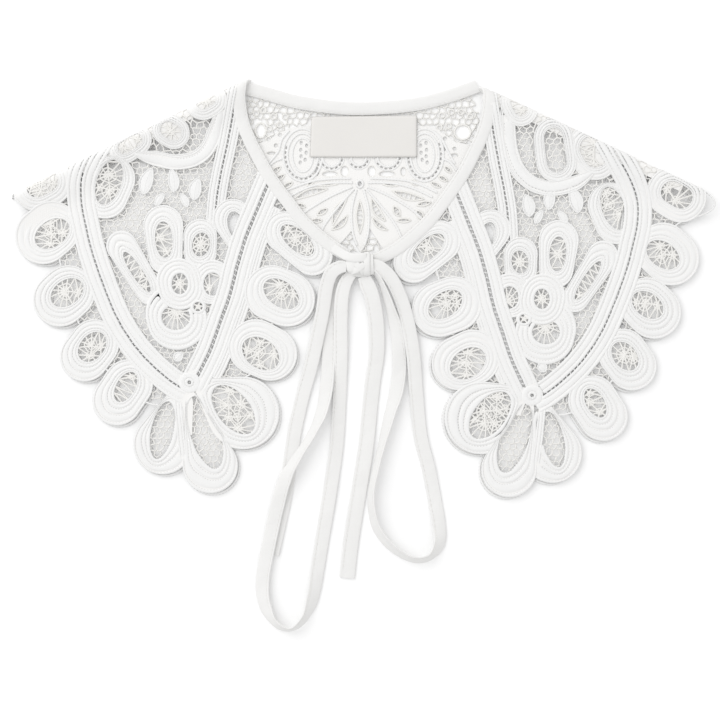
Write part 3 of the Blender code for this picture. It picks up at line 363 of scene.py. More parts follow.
# Wide holes in the back lace: under the small scallops, and beside the shoulders.
BACK_HOLES = (
    Oval(-65.5, 103.5, 3.5, 5), Oval(65.6, 102.5, 5.5, 5), Oval(-10.9, 77, 3.2, 4.1),
    Oval(6.6, 77, 3.2, 4.1), Oval(-20.4, 75.2, 5.7, 2.4), Oval(-58.5, 88.8, 3.5, 1.5),
    Oval(16.6, 75.3, 6, 2.4), Oval(27.2, 76.8, 2.4, 3.5), Oval(60.5, 87.4, 3, 1.75),
    Oval(-29, 77, 2.1, 3.5),
)

# Middle of the neck binding: up each front from the bow to the shoulder, and across the back.
BINDING_WIDTH = 8.5
BINDING_HALF = BINDING_WIDTH / 2
BINDING_STEP = 3.0
NECK_LEFT = (
    (-9.6, 21.8), (-21.5, 30), (-30, 37), (-39, 45.5), (-47, 56), (-55, 66.5), (-62, 77),
    (-68, 88), (-73, 98), (-76.8, 108), (-78.8, 118), (-79.4, 126), (-78.5, 134), (-77.3, 146),
)
NECK_RIGHT = (
    (7.0, 18.4), (22, 26), (34, 35.3), (44.5, 45.5), (52.5, 56), (60, 66.5), (66.5, 76.5),
    (72, 87), (77, 97.5), (80.8, 108), (82.8, 118.5), (83, 126), (82, 134), (80.5, 146),
)
NECK_BACK = (
    (-86, 133), (-74, 130.5), (-63, 127.7), (-53, 124.8), (-42.5, 122), (-27, 119.5),
    (-14, 118), (-1, 117.5), (12, 118), (25, 119), (41.5, 121.5), (56, 125.5), (68, 129.5),
    (80, 134), (90, 138),
)

# How far the lace runs under its binding, and the corners that close what is cut away past it.
UNDER_BINDING = 2.0
CLEAR_OF_BACK = ((140, 160), (140, 220), (-140, 220), (-140, 160))

# A band's ridges: where each lies as a share of the band, its half width as a share of the band,
# and its half height. They stand on a thin cloth of their own.
Ridge = namedtuple("Ridge", "share half height")
SCALLOP_RIDGES = (Ridge(0.06, 0.065, 0.84), Ridge(0.29, 0.165, 0.68), Ridge(0.585, 0.125, 0.82),
                  Ridge(0.795, 0.085, 0.74), Ridge(0.945, 0.05, 0.70))
BACK_RIDGES = (Ridge(0.07, 0.07, 0.84), Ridge(0.36, 0.22, 0.68), Ridge(0.78, 0.2, 0.78))
TIP_RIDGES = (Ridge(0.06, 0.065, 0.84), Ridge(0.33, 0.19, 0.70), Ridge(0.63, 0.11, 0.76),
              Ridge(0.88, 0.125, 0.82))
HEART_RIDGES = (Ridge(0.10, 0.11, 0.84), Ridge(0.35, 0.13, 0.76), Ridge(0.61, 0.12, 0.80),
                Ridge(0.88, 0.13, 0.78))
SMALL_RIDGES = (Ridge(0.5, 0.46, 0.84),)
HUB_RIDGES = (Ridge(0.38, 0.42, 0.72), Ridge(0.84, 0.17, 0.98))
CRESCENT_RIDGES = (Ridge(0.05, 0.05, 0.80), Ridge(0.17, 0.06, 0.80), Ridge(0.58, 0.33, 0.86),
                   Ridge(0.955, 0.05, 0.78))
TAPE_RIDGES = (Ridge(0.12, 0.14, 0.84), Ridge(0.50, 0.25, 0.72), Ridge(0.88, 0.14, 0.84))
FOLLOWER_RIDGES = (Ridge(0.16, 0.17, 0.82), Ridge(0.50, 0.15, 0.76), Ridge(0.84, 0.17, 0.82))
RIDGE_STEP = 2.0
PATH_STEP = 1.5
COARSE_STEP = 5.0
RIDGE_SIDES = 9
RIDGE_FULLNESS = 0.75
THREAD_FULLNESS = 0.9
RIDGE_END = 0.55
NARROWEST_BAND = 2.0
TIGHTEST_TURN = 0.6
UNDERLAP = 0.9
NET_UNDERLAP = 1.2
OPENING_UNDERLAP = 0.8
FAR_UNDER = 9.0

# The cloth under the ridges: its heights, how much less high each next layer's is, and where its
# edges and its middle lie as shares of the band.
CLOTH_LOW = 0.25
CLOTH_HIGH = 1.34
CLOTH_SINK = 0.02
CLOTH_SINKS = 7
LOOP_CLOTH = (0.03, 0.5, 0.95)
TAPE_CLOTH = (0.04, 0.5, 0.96)
UNEVEN = 0.075
UNEVEN_WAVES = 4
SEED_STRIDE = 7919

# Webs in the loops: thread width, how far the stars stand apart, and the rim's own stations.
WEB_HALF = 0.56
STAR_HALF = 0.78
STAR_APART = 7.4
STAR_OFF_RIM = 2.6
RIM_APART = 4.5
WEB_RINGS = (0.45, 0.8)
WEB_RING_REACH = 6.4
STAR_JITTER = 1.3
STAR_HEIGHT = 0.46
SPOKE_HEIGHT = 0.36
WEB_LIFT = 0.75
WEB_LIFT_JITTER = 0.1
WEB_BOW = 0.5
WEB_UNDERLAP = 0.7
WEB_CLEARANCE = 0.2
RIM_SPREAD = (0.85, 1.15)
SPOKE_SPREAD = (0.85, 1.2)
WEB_RING_SPREAD = (0.88, 1.12)
WEB_RING_HEIGHT = 0.34
WEB_RING_ROOM = 4.4

NET_PITCH = 4.3
NET_HALF = 0.48
NET_HEIGHT = 0.36
NET_LIFT = 0.72
NET_JITTER = 0.8
WEB_STEP = 1.6
THREAD_SIDES = 6

# Where a closed thread overlaps its own start it is this much thinner.
OVERLAP_SHARES = (0.97, 0.88)
GROUND_EDGE = Thread(0.6, 0.6, THREAD_MIDDLE)

# The slanting bars of a laddered seam.
LADDER_BARS = {"Spacing": 3.3, "Length": 3.2, "Width": 0.85, "Height": 1.1, "Lift": 0.85}
LADDER_LEAN = 1.1


def ease(share):
    """A smooth step from 0 to 1."""
    share = max(0.0, min(1.0, share))
    return share * share * (3 - 2 * share)


def vectors(points):
    """The points as vectors."""
    return [Vector(point) for point in points]


def heading_at(angle):
    """The flat direction at an angle."""
    return Vector((math.cos(angle), math.sin(angle)))


def smooth_path(points, step):
    """Points every `step` along a smooth curve through the given ones (Catmull-Rom)."""
    points = vectors(points)
    ends = [2 * points[0] - points[1], *points, 2 * points[-1] - points[-2]]
    path = []
    for before, start, end, after in zip(ends, ends[1:], ends[2:], ends[3:]):
        count = max(1, round((end - start).length / step))
        for number in range(count):
            t = number / count
            path.append(0.5 * (2 * start + (end - before) * t
                               + (2 * before - 5 * start + 4 * end - after) * t ** 2
                               + (3 * start - before - 3 * end + after) * t ** 3))
    return [*path, points[-1]]


def lengths_along(path):
    """How far along a path each of its points lies."""
    travelled = [0.0]
    for before, after in zip(path, path[1:]):
        travelled.append(travelled[-1] + (after - before).length)
    return travelled


def offset_path(path, distance):
    """A flat path moved sideways to its left."""
    moved_path = []
    for number, point in enumerate(path):
        along = path[min(number + 1, len(path) - 1)] - path[max(number - 1, 0)]
        moved_path.append(point + Vector((-along.y, along.x)).normalized() * distance)
    return moved_path


def fold_axes(fold):
    """The fold line's own direction, and the direction from it into the front."""
    along = heading_at(math.radians(fold.angle))
    return along, Vector((along.y, -along.x))


def depth_from_fold(fold, point):
    """How far a point of the pattern lies from the fold line, into the front."""
    return (Vector(point) - Vector((fold.x, fold.y))).dot(fold_axes(fold)[1])


def loop_ends(loop):
    """The middles of a loop's two circles."""
    return Vector((loop.x0, loop.y0)), Vector((loop.x1, loop.y1))


def ring(loop, inset, step):
    """A loop's outline moved inwards: two arcs, and the straight sides between them."""
    start, end = loop_ends(loop)
    small, large = loop.r0 - inset, loop.r1 - inset
    if small < TIGHTEST_TURN < large:
        start = start.lerp(end, (TIGHTEST_TURN - small) / (large - small))
        small = TIGHTEST_TURN
    axis = end - start
    heading = math.atan2(axis.y, axis.x)
    spread = math.acos(max(-1.0, min(1.0, (small - large) / axis.length)))
    corners = []
    for centre, radius, first, sweep in ((end, large, heading - spread, 2 * spread),
                                         (start, small, heading + spread,
                                          2 * (math.pi - spread))):
        steps = max(3, round(radius * sweep / step))
        for number in range(steps + 1):
            angle = first + sweep * number / steps
            corners.append(centre + radius * heading_at(angle))
    points = []
    for point, following in zip(corners, corners[1:] + corners[:1]):
        count = max(1, round((following - point).length / step))
        points += [point.lerp(following, number / count) for number in range(count)]
    return points


def inset_in(loop, point):
    """How far a point lies inside a loop's outline; less than 0 outside it."""
    start, end = loop_ends(loop)
    axis = end - start
    length = axis.length
    away = point - start
    across = abs(away.cross(axis)) / length
    along = away.dot(axis) / length
    lean = (loop.r0 - loop.r1) / length
    upright = math.sqrt(max(0.0, 1 - lean * lean))
    side = along * upright - across * lean
    if side < 0:
        return loop.r0 - Vector((across, along)).length
    if side > upright * length:
        return loop.r1 - Vector((across, along - length)).length
    return loop.r0 - (across * upright + along * lean)


def inset_in_tape(tape, path, point):
    """How far a flat point lies within a tape's sides; less than 0 outside it or beyond its ends."""
    best, sizes, last = -1.0, tape_widths(tape, path), len(path) - 2
    for number, (start, end) in enumerate(zip(path, path[1:])):
        along = end - start
        share = (point - start).dot(along) / along.length_squared
        if (number == 0 and share < 0) or (number == last and share > 1):
            continue
        away = (point - start - along * max(0.0, min(1.0, share))).length
        best = max(best, tape.width / 2 * sizes[number] - away)
    return best


def tape_widths(tape, path):
    """How wide a tape is at each point of its path, as shares of its width."""
    if not tape.taper:
        return [1.0] * len(path)
    travelled = lengths_along(path)
    shares = []
    for done in travelled:
        if done < travelled[-1] / 2:
            full = math.sin(math.pi / 2 * min(1.0, done / tape.taper))
            shares.append(TAPER_START + (1 - TAPER_START) * full)
        else:
            full = min(1.0, (travelled[-1] - done) / tape.taper)
            shares.append(TAPER_END + (1 - TAPER_END) * full)
    return shares


def inside(outline, point):
    """Whether a point is inside a closed outline (even-odd rule)."""
    odd = False
    for number, (x, y) in enumerate(outline):
        before_x, before_y = outline[number - 1]
        if (y > point[1]) != (before_y > point[1]):
            if point[0] < x + (before_x - x) * (point[1] - y) / (before_y - y):
                odd = not odd
    return odd


def counterclockwise(outline):
    """The outline turned so that it runs counterclockwise."""
    outline = vectors(outline)
    area = sum(a.cross(b) for a, b in zip(outline, outline[1:] + outline[:1]))
    return outline if area > 0 else outline[::-1]


def carried(item, carry):
    """A loop, opening, tape, leaf or point with its points carried over by a function of x and y."""
    if isinstance(item, Loop):
        x0, y0 = carry(item.x0, item.y0)
        x1, y1 = carry(item.x1, item.y1)
        return item._replace(x0=x0, y0=y0, x1=x1, y1=y1,
                             opening=item.opening and carried(item.opening, carry))
    if isinstance(item, Tape):
        return item._replace(points=tuple(carry(*point) for point in item.points))
    if isinstance(item, (Opening, Leaf)):
        x, y = carry(item.x, item.y)
        return item._replace(x=x, y=y)
    return carry(*item)


def moved(item, right, up):
    """A part of the design moved sideways and up."""
    return carried(item, lambda x, y: (x + right, y + up))


def right_copy(item):
    """The right front's own copy of a loop, tape, leaf or point of the left one."""
    item = carried(item, lambda x, y: (RIGHT_LAY.xx * x + RIGHT_LAY.xy * y + RIGHT_LAY.x0,
                                       RIGHT_LAY.yx * x + RIGHT_LAY.yy * y + RIGHT_LAY.y0))
    if isinstance(item, Leaf):
        return item._replace(angle=180 - item.angle, bend=-item.bend)
    if isinstance(item, Loop):
        hole = item.opening
        if hole:
            hole = Opening(hole.x, hole.y, hole.long * RIGHT_SCALE, hole.wide * RIGHT_SCALE,
                           180 - hole.angle)
        return moved(item._replace(opening=hole), item.right_x, item.right_y)
    return item


# A leaf is a padded lens of stitches; `bend` is how far its middle bows to its left.
Leaf = namedtuple("Leaf", "x y length width angle bend")
LEAF_POINTS = 15
LEAF_HEIGHT = 0.56
LEAF_NARROWEST = 0.12
LEAF_VEIN = Thread(0.4, 0.74, THREAD_MIDDLE)
LEAF_RIM = Thread(0.52, 0.74, THREAD_MIDDLE)
LEAF_RIM_AT = 0.92

# A layer of a panel is a loop or a tape. Those earlier in a panel's list lie over the others.
# A loop's spokes run from the middle of its opening: a direction, and how far the opening's edge
# and the outline lie that way.
Layer = namedtuple("Layer", "name loop tape path ridges centre spokes filled middle reach outline",
                   defaults=(None,) * 10)
SPOKES = 150
HALVINGS = 18


def reach_to(loop, centre, heading, inset):
    """How far from a point in a loop the line lies, a given inset inside its outline."""
    near, far = 0.0, 2 * (loop.r0 + loop.r1) + math.dist((loop.x0, loop.y0), (loop.x1, loop.y1))
    for _ in range(HALVINGS):
        middle = (near + far) / 2
        if inset_in(loop, centre + heading * middle) > inset:
            near = middle
        else:
            far = middle
    return near


def loop_layer(loop, ridges, filled):
    """A loop as a layer of its panel."""
    start, end = loop_ends(loop)
    opening = loop.opening
    if opening:
        centre = Vector((opening.x, opening.y))
    else:
        centre = start.lerp(end, 0.5 + 0.45 * (loop.r1 - loop.r0) / (loop.r0 + loop.r1))
    spokes = []
    for number in range(SPOKES):
        angle = 2 * math.pi * number / SPOKES
        heading = heading_at(angle)
        outer = reach_to(loop, centre, heading, 0.0)
        if opening:
            turned = angle - math.radians(opening.angle)
            inner = opening.long * opening.wide / math.hypot(opening.wide * math.cos(turned),
                                                             opening.long * math.sin(turned))
            inner = min(inner, outer - NARROWEST_BAND)
        else:
            inner = reach_to(loop, centre, heading, loop.band)
        spokes.append((heading, inner, outer))
    middle = (start + end) / 2
    reach = (end - start).length / 2 + max(loop.r0, loop.r1)
    return Layer(loop.name, loop, ridges=ridges, centre=centre, spokes=spokes, filled=filled,
                 middle=middle, reach=reach)


def room_in(layer, point):
    """How far a point lies inside the edge of a loop's opening; less than 0 outside it."""
    away = point - layer.centre
    turn = math.atan2(away.y, away.x) / (2 * math.pi) % 1.0
    return layer.spokes[int(turn * SPOKES) % SPOKES][1] - away.length


def opening_outline(layer):
    """The outline of a loop's opening, a little way under its band."""
    return [layer.centre + heading * (inner + OPENING_UNDERLAP)
            for heading, inner, _outer in layer.spokes[::6]]


def round_band(layer, share, step):
    """A closed line in a loop's band, a share of the way in, and the band's width along it."""
    line = [layer.centre + heading * (outer + (inner - outer) * share)
            for heading, inner, outer in layer.spokes]
    widths = []
    for number, (heading, inner, outer) in enumerate(layer.spokes):
        along = line[(number + 1) % SPOKES] - line[number - 1]
        widths.append((outer - inner) * abs(heading.cross(along.normalized())))
    path, widths_on_path, left = [], [], 0.0
    for number, point in enumerate(line):
        following = line[(number + 1) % SPOKES]
        length = (following - point).length
        while left < length:
            share_on = left / length
            path.append(point.lerp(following, share_on))
            widths_on_path.append(widths[number] * (1 - share_on)
                                  + widths[(number + 1) % SPOKES] * share_on)
            left += step
        left -= length
    if (path[-1] - path[0]).length < step / 2:
        path.pop()
        widths_on_path.pop()
    return path, widths_on_path


def tape_layer(tape, ridges):
    """A tape as a layer of its panel."""
    path = smooth_path(tape.points, COARSE_STEP)
    middle = sum(path, Vector((0, 0))) / len(path)
    reach = max((point - middle).length for point in path) + tape.width
    return Layer(tape.name, tape=tape, path=path, ridges=ridges, middle=middle, reach=reach)


def how_far_under(layer, point):
    """How far a point lies within a layer's outline; less than 0 outside it."""
    if layer.outline:
        return FAR_UNDER if inside(layer.outline, point) else -1.0
    if (point - layer.middle).length > layer.reach:
        return -1.0
    if layer.loop:
        return inset_in(layer.loop, point)
    return inset_in_tape(layer.tape, layer.path, point)


def is_cloth(panel, point):
    """Whether a point belongs to the panel: inside its binding and its folded ends."""
    return not inside(panel.cut, point) and all(
        depth_from_fold(fold, point) > panel.edge_depth for fold in panel.folds)


def shows(panel, above, point):
    """Whether a thread at a point is on the panel and under none of the layers above it."""
    return is_cloth(panel, point) and all(how_far_under(layer, point) < UNDERLAP
                                          for layer in above)


def new_wires():
    """Middle lines of threads, with a half width, a half height and a lift at each point."""
    return [], [], {"half_width": [], "height": [], "lift": []}


def lay_wire(wires, path, half_width, height, lift=THREAD_MIDDLE, closed=False):
    """Add a thread; its half width and half height may be one number or one for each point."""
    points, edges, numbers = wires
    if closed:
        path = [*path, path[0], path[0].lerp(path[1], 0.5)]
    first, count = len(points), len(path)
    points += [(point[0], point[1], 0.0) for point in path]
    edges += [(first + number, first + number + 1) for number in range(count - 1)]
    for label, value in (("half_width", half_width), ("height", height), ("lift", lift)):
        column = value if isinstance(value, list) else [value] * count
        if closed and label != "lift":
            column = [*column[:count - 2], *[column[0] * share for share in OVERLAP_SHARES]]
        elif len(column) < count:
            column = [*column, column[0], column[0]]
        numbers[label] += [number * MM for number in column]


def runs_that_show(path, closed, test):
    """Which stretches of a path pass a test, as lists of its points' numbers.

    A closed path that passes all the way stays closed.
    """
    flags = [test(point) for point in path]
    numbers = list(range(len(path)))
    if all(flags):
        return [(numbers, closed)]
    if closed:
        start = flags.index(False)
        numbers = numbers[start:] + numbers[:start]
    runs, run = [], []
    for number in [*numbers, None]:
        if number is not None and flags[number]:
            run.append(number)
        elif run:
            runs.append((run, False))
            run = []
    return [(found, False) for found, _closed in runs if len(found) > 2]


def uneven(count, seed):
    """Numbers round 1 that swell and shrink slowly, as handwork does."""
    dice = random.Random(seed)
    waves = [(dice.randint(2, 5 + count // 8), dice.uniform(0, 2 * math.pi))
             for _ in range(UNEVEN_WAVES)]
    return [1 + UNEVEN / 2 * sum(math.sin(2 * math.pi * rate * number / count + phase)
                                 for rate, phase in waves) for number in range(count)]


def lay_ridge(wires, path, closed, halves, height, test):
    """Add a ridge where it shows, a little lower at the ends that pass under another tape."""
    seed = round(path[0].x * 10) * SEED_STRIDE + round(path[0].y * 10)
    halves = [half * share for half, share in zip(halves, uneven(len(path), seed))]
    swell = uneven(len(path), seed + 1)
    for run, whole in runs_that_show(path, closed, test):
        heights = [height * (0.5 + 0.5 * swell[number]) for number in run]
        if not whole:
            heights[0] = heights[-1] = height * RIDGE_END
        lay_wire(wires, [path[number] for number in run], [halves[number] for number in run],
                 heights, closed=whole)


def add_cloth(cloth, left, right, closed, sink):
    """Add a strip of thin cloth between two lines, closed all round and sunk a hair."""
    points, faces = cloth
    first, count = len(points), len(left)
    high, low = CLOTH_HIGH - sink, CLOTH_LOW + sink
    for one, other in zip(left, right):
        points += [(*one, high), (*one, low), (*other, low), (*other, high)]
    for number in range(count if closed else count - 1):
        here, there = first + 4 * number, first + 4 * ((number + 1) % count)
        for side in range(4):
            after = (side + 1) % 4
            faces.append((there + side, there + after, here + after, here + side))
    if not closed:
        last = first + 4 * (count - 1)
        faces.append((first, first + 1, first + 2, first + 3))
        faces.append((last + 3, last + 2, last + 1, last))


def lay_leaf(wires, leaf):
    """Add a padded leaf with a vein, and a cord round it."""
    along = heading_at(math.radians(leaf.angle))
    across = Vector((-along.y, along.x))
    path, halves = [], []
    for number in range(LEAF_POINTS):
        share = number / (LEAF_POINTS - 1)
        bow = leaf.bend * math.sin(math.pi * share)
        path.append(Vector((leaf.x, leaf.y)) + along * leaf.length * (share - 0.5) + across * bow)
        halves.append(max(LEAF_NARROWEST,
                          leaf.width / 2 * math.sin(math.pi * share ** 0.85) ** 0.8))
    lay_wire(wires, path, halves,
             [LEAF_HEIGHT * min(1.0, 4 * half / leaf.width) for half in halves])
    lay_wire(wires, path[1:-2], *LEAF_VEIN)
    round_it = [point + across * half * LEAF_RIM_AT for point, half in zip(path, halves)]
    round_it += [point - across * half * LEAF_RIM_AT for point, half in zip(path, halves)][-2:0:-1]
    lay_wire(wires, round_it, *LEAF_RIM, closed=True)


def held_in(panel, line):
    """A line with the points that lie past the panel's folded ends moved back to them."""
    kept = []
    for point in line:
        for fold in panel.folds:
            short = panel.edge_depth - depth_from_fold(fold, point)
            point = point + fold_axes(fold)[1] * max(0.0, short)
        kept.append(point)
    return kept


def lay_layer(panel, layer, above):
    """Work one layer: its cloth, its ridges and the web or ladder in it."""
    def test(point):
        return shows(panel, above, point)

    def strip_shows(spots):
        """Whether a strip shows in its middle, or anywhere if it sticks out nowhere."""
        if test(spots[1]):
            return True
        return any(test(spot) for spot in spots) and all(
            is_cloth(panel, spot) and not any(upper.loop and room_in(upper, spot) > -1.0
                                              for upper in above) for spot in spots)

    if layer.outline:
        return
    sink = CLOTH_SINK * (len(above) % CLOTH_SINKS)
    if layer.loop:
        strip = [[layer.centre + heading * (inner + (outer - inner) * share)
                  for share in LOOP_CLOTH] for heading, inner, outer in layer.spokes[::2]]
        for run, whole in runs_that_show(strip, True, strip_shows):
            add_cloth(panel.cloth, *[held_in(panel, [strip[number][side] for number in run])
                                     for side in (0, 2)], whole, sink)
        for ridge in layer.ridges:
            path, widths = round_band(layer, ridge.share, PATH_STEP)
            lay_ridge(panel.tapes, path, True, [width * ridge.half for width in widths],
                      ridge.height, test)
        if layer.filled == "web":
            lay_web(panel, layer, test)
        return
    tape = layer.tape
    path = smooth_path(tape.points, PATH_STEP)
    sizes = tape_widths(tape, path)
    band = (tape.width - tape.seam) / 2 if tape.seam else tape.width

    def line_at(side, share):
        """A line in the tape's band on this side, a share of the way in from its edge."""
        middle = [tape.width / 2 - band * share] * len(path)
        return [point + (moved_point - point) * middle[number] * sizes[number] * side
                for number, (point, moved_point) in enumerate(zip(path, offset_path(path, 1.0)))]

    for side in ((-1, 1) if tape.seam else (1,)):
        lines = [line_at(side, share) for share in TAPE_CLOTH]
        for run, _whole in runs_that_show(list(zip(*lines)), False, strip_shows):
            strip = [held_in(panel, [line[number] for number in run[::2]])
                     for line in (lines[0], lines[2])]
            add_cloth(panel.cloth, *(strip if side > 0 else strip[::-1]), False, sink)
        for ridge in layer.ridges:
            lay_ridge(panel.tapes, line_at(side, ridge.share), False,
                      [band * ridge.half * size for size in sizes], ridge.height, test)
    for run, _whole in runs_that_show(path, False, test) if tape.seam else ():
        lay_wire(panel.ladders, [path[number] for number in run], 0.25, 0.25)


def lay_web(panel, layer, test):
    """Work star webs in a loop's hole: spokes from star to rim and to star, and a ring on them."""
    dice = random.Random(layer.name)
    rim = []
    for heading, inner, _outer in layer.spokes:
        spot = layer.centre + heading * (inner + WEB_UNDERLAP)
        if not rim or (spot - rim[-1]).length > RIM_APART * dice.uniform(*RIM_SPREAD):
            rim.append(spot)
    if (rim[-1] - rim[0]).length < RIM_APART * 0.6:
        rim.pop()
    low = Vector((min(p.x for p in rim), min(p.y for p in rim)))
    high = Vector((max(p.x for p in rim), max(p.y for p in rim)))
    stars = []
    rows = max(1, round((high.y - low.y) / STAR_APART))
    columns = max(1, round((high.x - low.x) / STAR_APART))
    for row in range(rows):
        for column in range(columns):
            star = Vector((low.x + (high.x - low.x) * (column + 0.5) / columns
                           + dice.uniform(-STAR_JITTER, STAR_JITTER),
                           low.y + (high.y - low.y) * (row + 0.5) / rows
                           + dice.uniform(-STAR_JITTER, STAR_JITTER)))
            if room_in(layer, star) > STAR_OFF_RIM:
                stars.append(star)
    stars = stars or [layer.centre]
    count = len(rim)
    corners, edges, _faces, origins, _a, _b = delaunay_2d_cdt(
        rim + stars, [(n, (n + 1) % count) for n in range(count)], [], 0, 0.01)
    spokes = defaultdict(list)
    for first, second in edges:
        ends = [origins[corner][0] if origins[corner] else count for corner in (first, second)]
        if max(ends) < count and abs(ends[0] - ends[1]) in (1, count - 1):
            continue
        middle = (corners[first] + corners[second]) / 2
        if (room_in(layer, middle) < -WEB_CLEARANCE
                or not (test(corners[first]) and test(corners[second]))):
            continue
        bow = Vector((dice.uniform(-WEB_BOW, WEB_BOW), dice.uniform(-WEB_BOW, WEB_BOW)))
        halves = [STAR_HALF if end >= count else WEB_HALF for end in ends]
        wide = WEB_HALF * dice.uniform(*SPOKE_SPREAD)
        lay_wire(panel.webs, [corners[first], middle + bow, corners[second]],
                 [halves[0], wide, halves[1]], [STAR_HEIGHT, SPOKE_HEIGHT, STAR_HEIGHT],
                 WEB_LIFT + dice.uniform(-WEB_LIFT_JITTER, WEB_LIFT_JITTER))
        for end, hub, far in zip(ends, (first, second), (second, first)):
            if end >= count:
                spokes[hub].append(corners[far] - corners[hub])
    for hub, rays in spokes.items():
        rays.sort(key=lambda ray: math.atan2(ray.y, ray.x))
        for reach in WEB_RINGS:
            web_ring = [corners[hub] + ray * min(reach, WEB_RING_REACH * reach / ray.length)
                        * dice.uniform(*WEB_RING_SPREAD) for ray in rays
                        if ray.length > WEB_RING_ROOM * reach]
            if len(web_ring) > 3 and all(room_in(layer, spot) > WEB_CLEARANCE
                                         for spot in web_ring):
                lay_wire(panel.webs, web_ring, WEB_HALF * 0.9, WEB_RING_HEIGHT, WEB_LIFT,
                         closed=True)


def flat_faces(outlines, wanted):
    """Cut the flat into triangles along outlines, and keep those whose kinds are wanted."""
    points, faces = [], []
    for outline, _kind in outlines:
        faces.append(list(range(len(points), len(points) + len(outline))))
        points += counterclockwise(outline)
    corners, _edges, triangles, _v, _e, owners = delaunay_2d_cdt(points, [], faces, 0, 0.05)
    kept = []
    for triangle, owner in zip(triangles, owners):
        middle = sum((corners[corner] for corner in triangle), Vector((0, 0))) / 3
        if wanted({outlines[number][1] for number in owner}, middle):
            a, b, c = (corners[corner] for corner in triangle)
            kept.append(tuple(triangle) if (b - a).cross(c - a) > 0 else tuple(triangle)[::-1])
    return corners, kept


def oval_points(oval, grow=0.0, count=36):
    """Points round an oval, grown by a margin."""
    return [Vector((oval.x + (oval.half_width + grow) * math.cos(2 * math.pi * number / count),
                    oval.y + (oval.half_height + grow) * math.sin(2 * math.pi * number / count)))
            for number in range(count)]


def slot_sides(slot):
    """The two sides of a slot: arcs that bow the same way and meet at its ends."""
    start, end = Vector((slot.x0, slot.y0)), Vector((slot.x1, slot.y1))
    across = Vector((start.y - end.y, end.x - start.x)).normalized()
    sides = []
    for side in (-1, 1):
        shares = [number / SLOT_STEPS for number in range(SLOT_STEPS + 1)]
        sides.append([start.lerp(end, share) + across * (slot.bow + side * slot.width / 2)
                      * math.sin(math.pi * share) for share in shares])
    return sides


def add_plate(cloth, outlines, low_side=CLOTH_LOW, high_side=CLOTH_HIGH):
    """Add solid-worked cloth: closed, with its holes cut through."""
    corners, kept = flat_faces(outlines, lambda kinds, _middle: kinds == {"solid"})
    points, faces = cloth
    used = sorted({corner for face in kept for corner in face})
    top = {corner: len(points) + number for number, corner in enumerate(used)}
    points += [(*corners[corner], high_side) for corner in used]
    low = {corner: len(points) + number for number, corner in enumerate(used)}
    points += [(*corners[corner], low_side) for corner in used]
    sides = {(a, b) for face in kept for a, b in zip(face, face[1:] + face[:1])}
    for face in kept:
        faces.append(tuple(top[corner] for corner in face))
        faces.append(tuple(low[corner] for corner in face[::-1]))
    for a, b in sides:
        if (b, a) not in sides:
            faces.append((top[a], low[a], low[b], top[b]))


def dashes_round(oval, start, end):
    """Short holes in a row round an oval's edge, between two directions in degrees."""
    holes, place, left = [], None, 0.0
    for number in range(4 * (end - start)):
        angle = math.radians(start + number / 4)
        spot = Vector((oval.x + oval.half_width * math.cos(angle),
                       oval.y + oval.half_height * math.sin(angle)))
        left += (spot - place).length if place else 0.0
        if place and left > DASH_APART:
            along = (spot - place).normalized()
            across = Vector((-along.y, along.x))
            holes.append([spot + along * DASH_LONG * math.cos(math.pi / 4 * corner)
                          + across * DASH_WIDE * math.sin(math.pi / 4 * corner)
                          for corner in range(8)])
            left = 0.0
        place = spot
    return holes


def net_area(panel):
    """The flat area that the net fills, and how much flat lace the panel has in all."""
    outlines = [(ground, "ground") for ground in panel.grounds]
    for layer in panel.layers:
        if layer.loop and layer.filled == "net":
            outlines.append((opening_outline(layer), "netted"))
        if layer.loop:
            outlines.append((ring(layer.loop, NET_UNDERLAP, 3.0), "covered"))
    for layer in panel.layers:
        if layer.tape:
            half = layer.tape.width / 2 - NET_UNDERLAP
            edge = offset_path(layer.path, half) + offset_path(layer.path, -half)[::-1]
            outlines.append((edge, "covered"))
    outlines += [(outline, "covered") for outline in panel.plates]
    outlines += [(outline, "bare") for outline in panel.bare]
    outlines.append((panel.cut, "cut"))

    def on_panel(kinds, middle):
        return kinds and not kinds & {"cut", "bare"} and all(
            depth_from_fold(fold, middle) > panel.edge_depth for fold in panel.folds)

    def net_here(kinds, middle):
        return on_panel(kinds, middle) and (kinds == {"ground"} or "netted" in kinds)

    corners, whole = flat_faces(outlines, on_panel)
    area = sum(abs((corners[b] - corners[a]).cross(corners[c] - corners[a])) / 2
               for a, b, c in whole)
    corners, kept = flat_faces(outlines, net_here)
    return [(point.x, point.y, 0.0) for point in corners], kept, area


# Geometry Nodes: what follows builds the trees that lay threads, net and stitches.

def new_tree(name, outputs=None, **inputs):
    """A node tree with these named inputs, with _ for a space, and the outputs of its inputs.

    Without outputs it is a Geometry Nodes tree with geometry in and out, and otherwise a group
    for shaders.
    """
    geometry = {} if outputs else {"Geometry": "Geometry"}
    tree = bpy.data.node_groups.new(name, "ShaderNodeTree" if outputs else "GeometryNodeTree")
    for side, sockets in (("INPUT", geometry | inputs), ("OUTPUT", outputs or geometry)):
        for label, kind in sockets.items():
            tree.interface.new_socket(label.replace("_", " "), in_out=side,
                                      socket_type="NodeSocket" + kind)
    return tree, add_node(tree, "GroupInput")


def stored(tree, name):
    """A number kept on the points of the mesh that comes in."""
    return add_node(tree, "InputNamedAttribute", Name=name)["Attribute"]


def keep(tree, geometry, name, value, domain="POINT", data_type="FLOAT"):
    """Store a value on the geometry under a name."""
    return add_node(tree, "StoreNamedAttribute", Geometry=geometry, Name=name, Value=value,
                    domain=domain, data_type=data_type)


def position_parts(tree):
    """The x, y and z of each point."""
    return add_node(tree, "SeparateXYZ", add_node(tree, "InputPosition"))


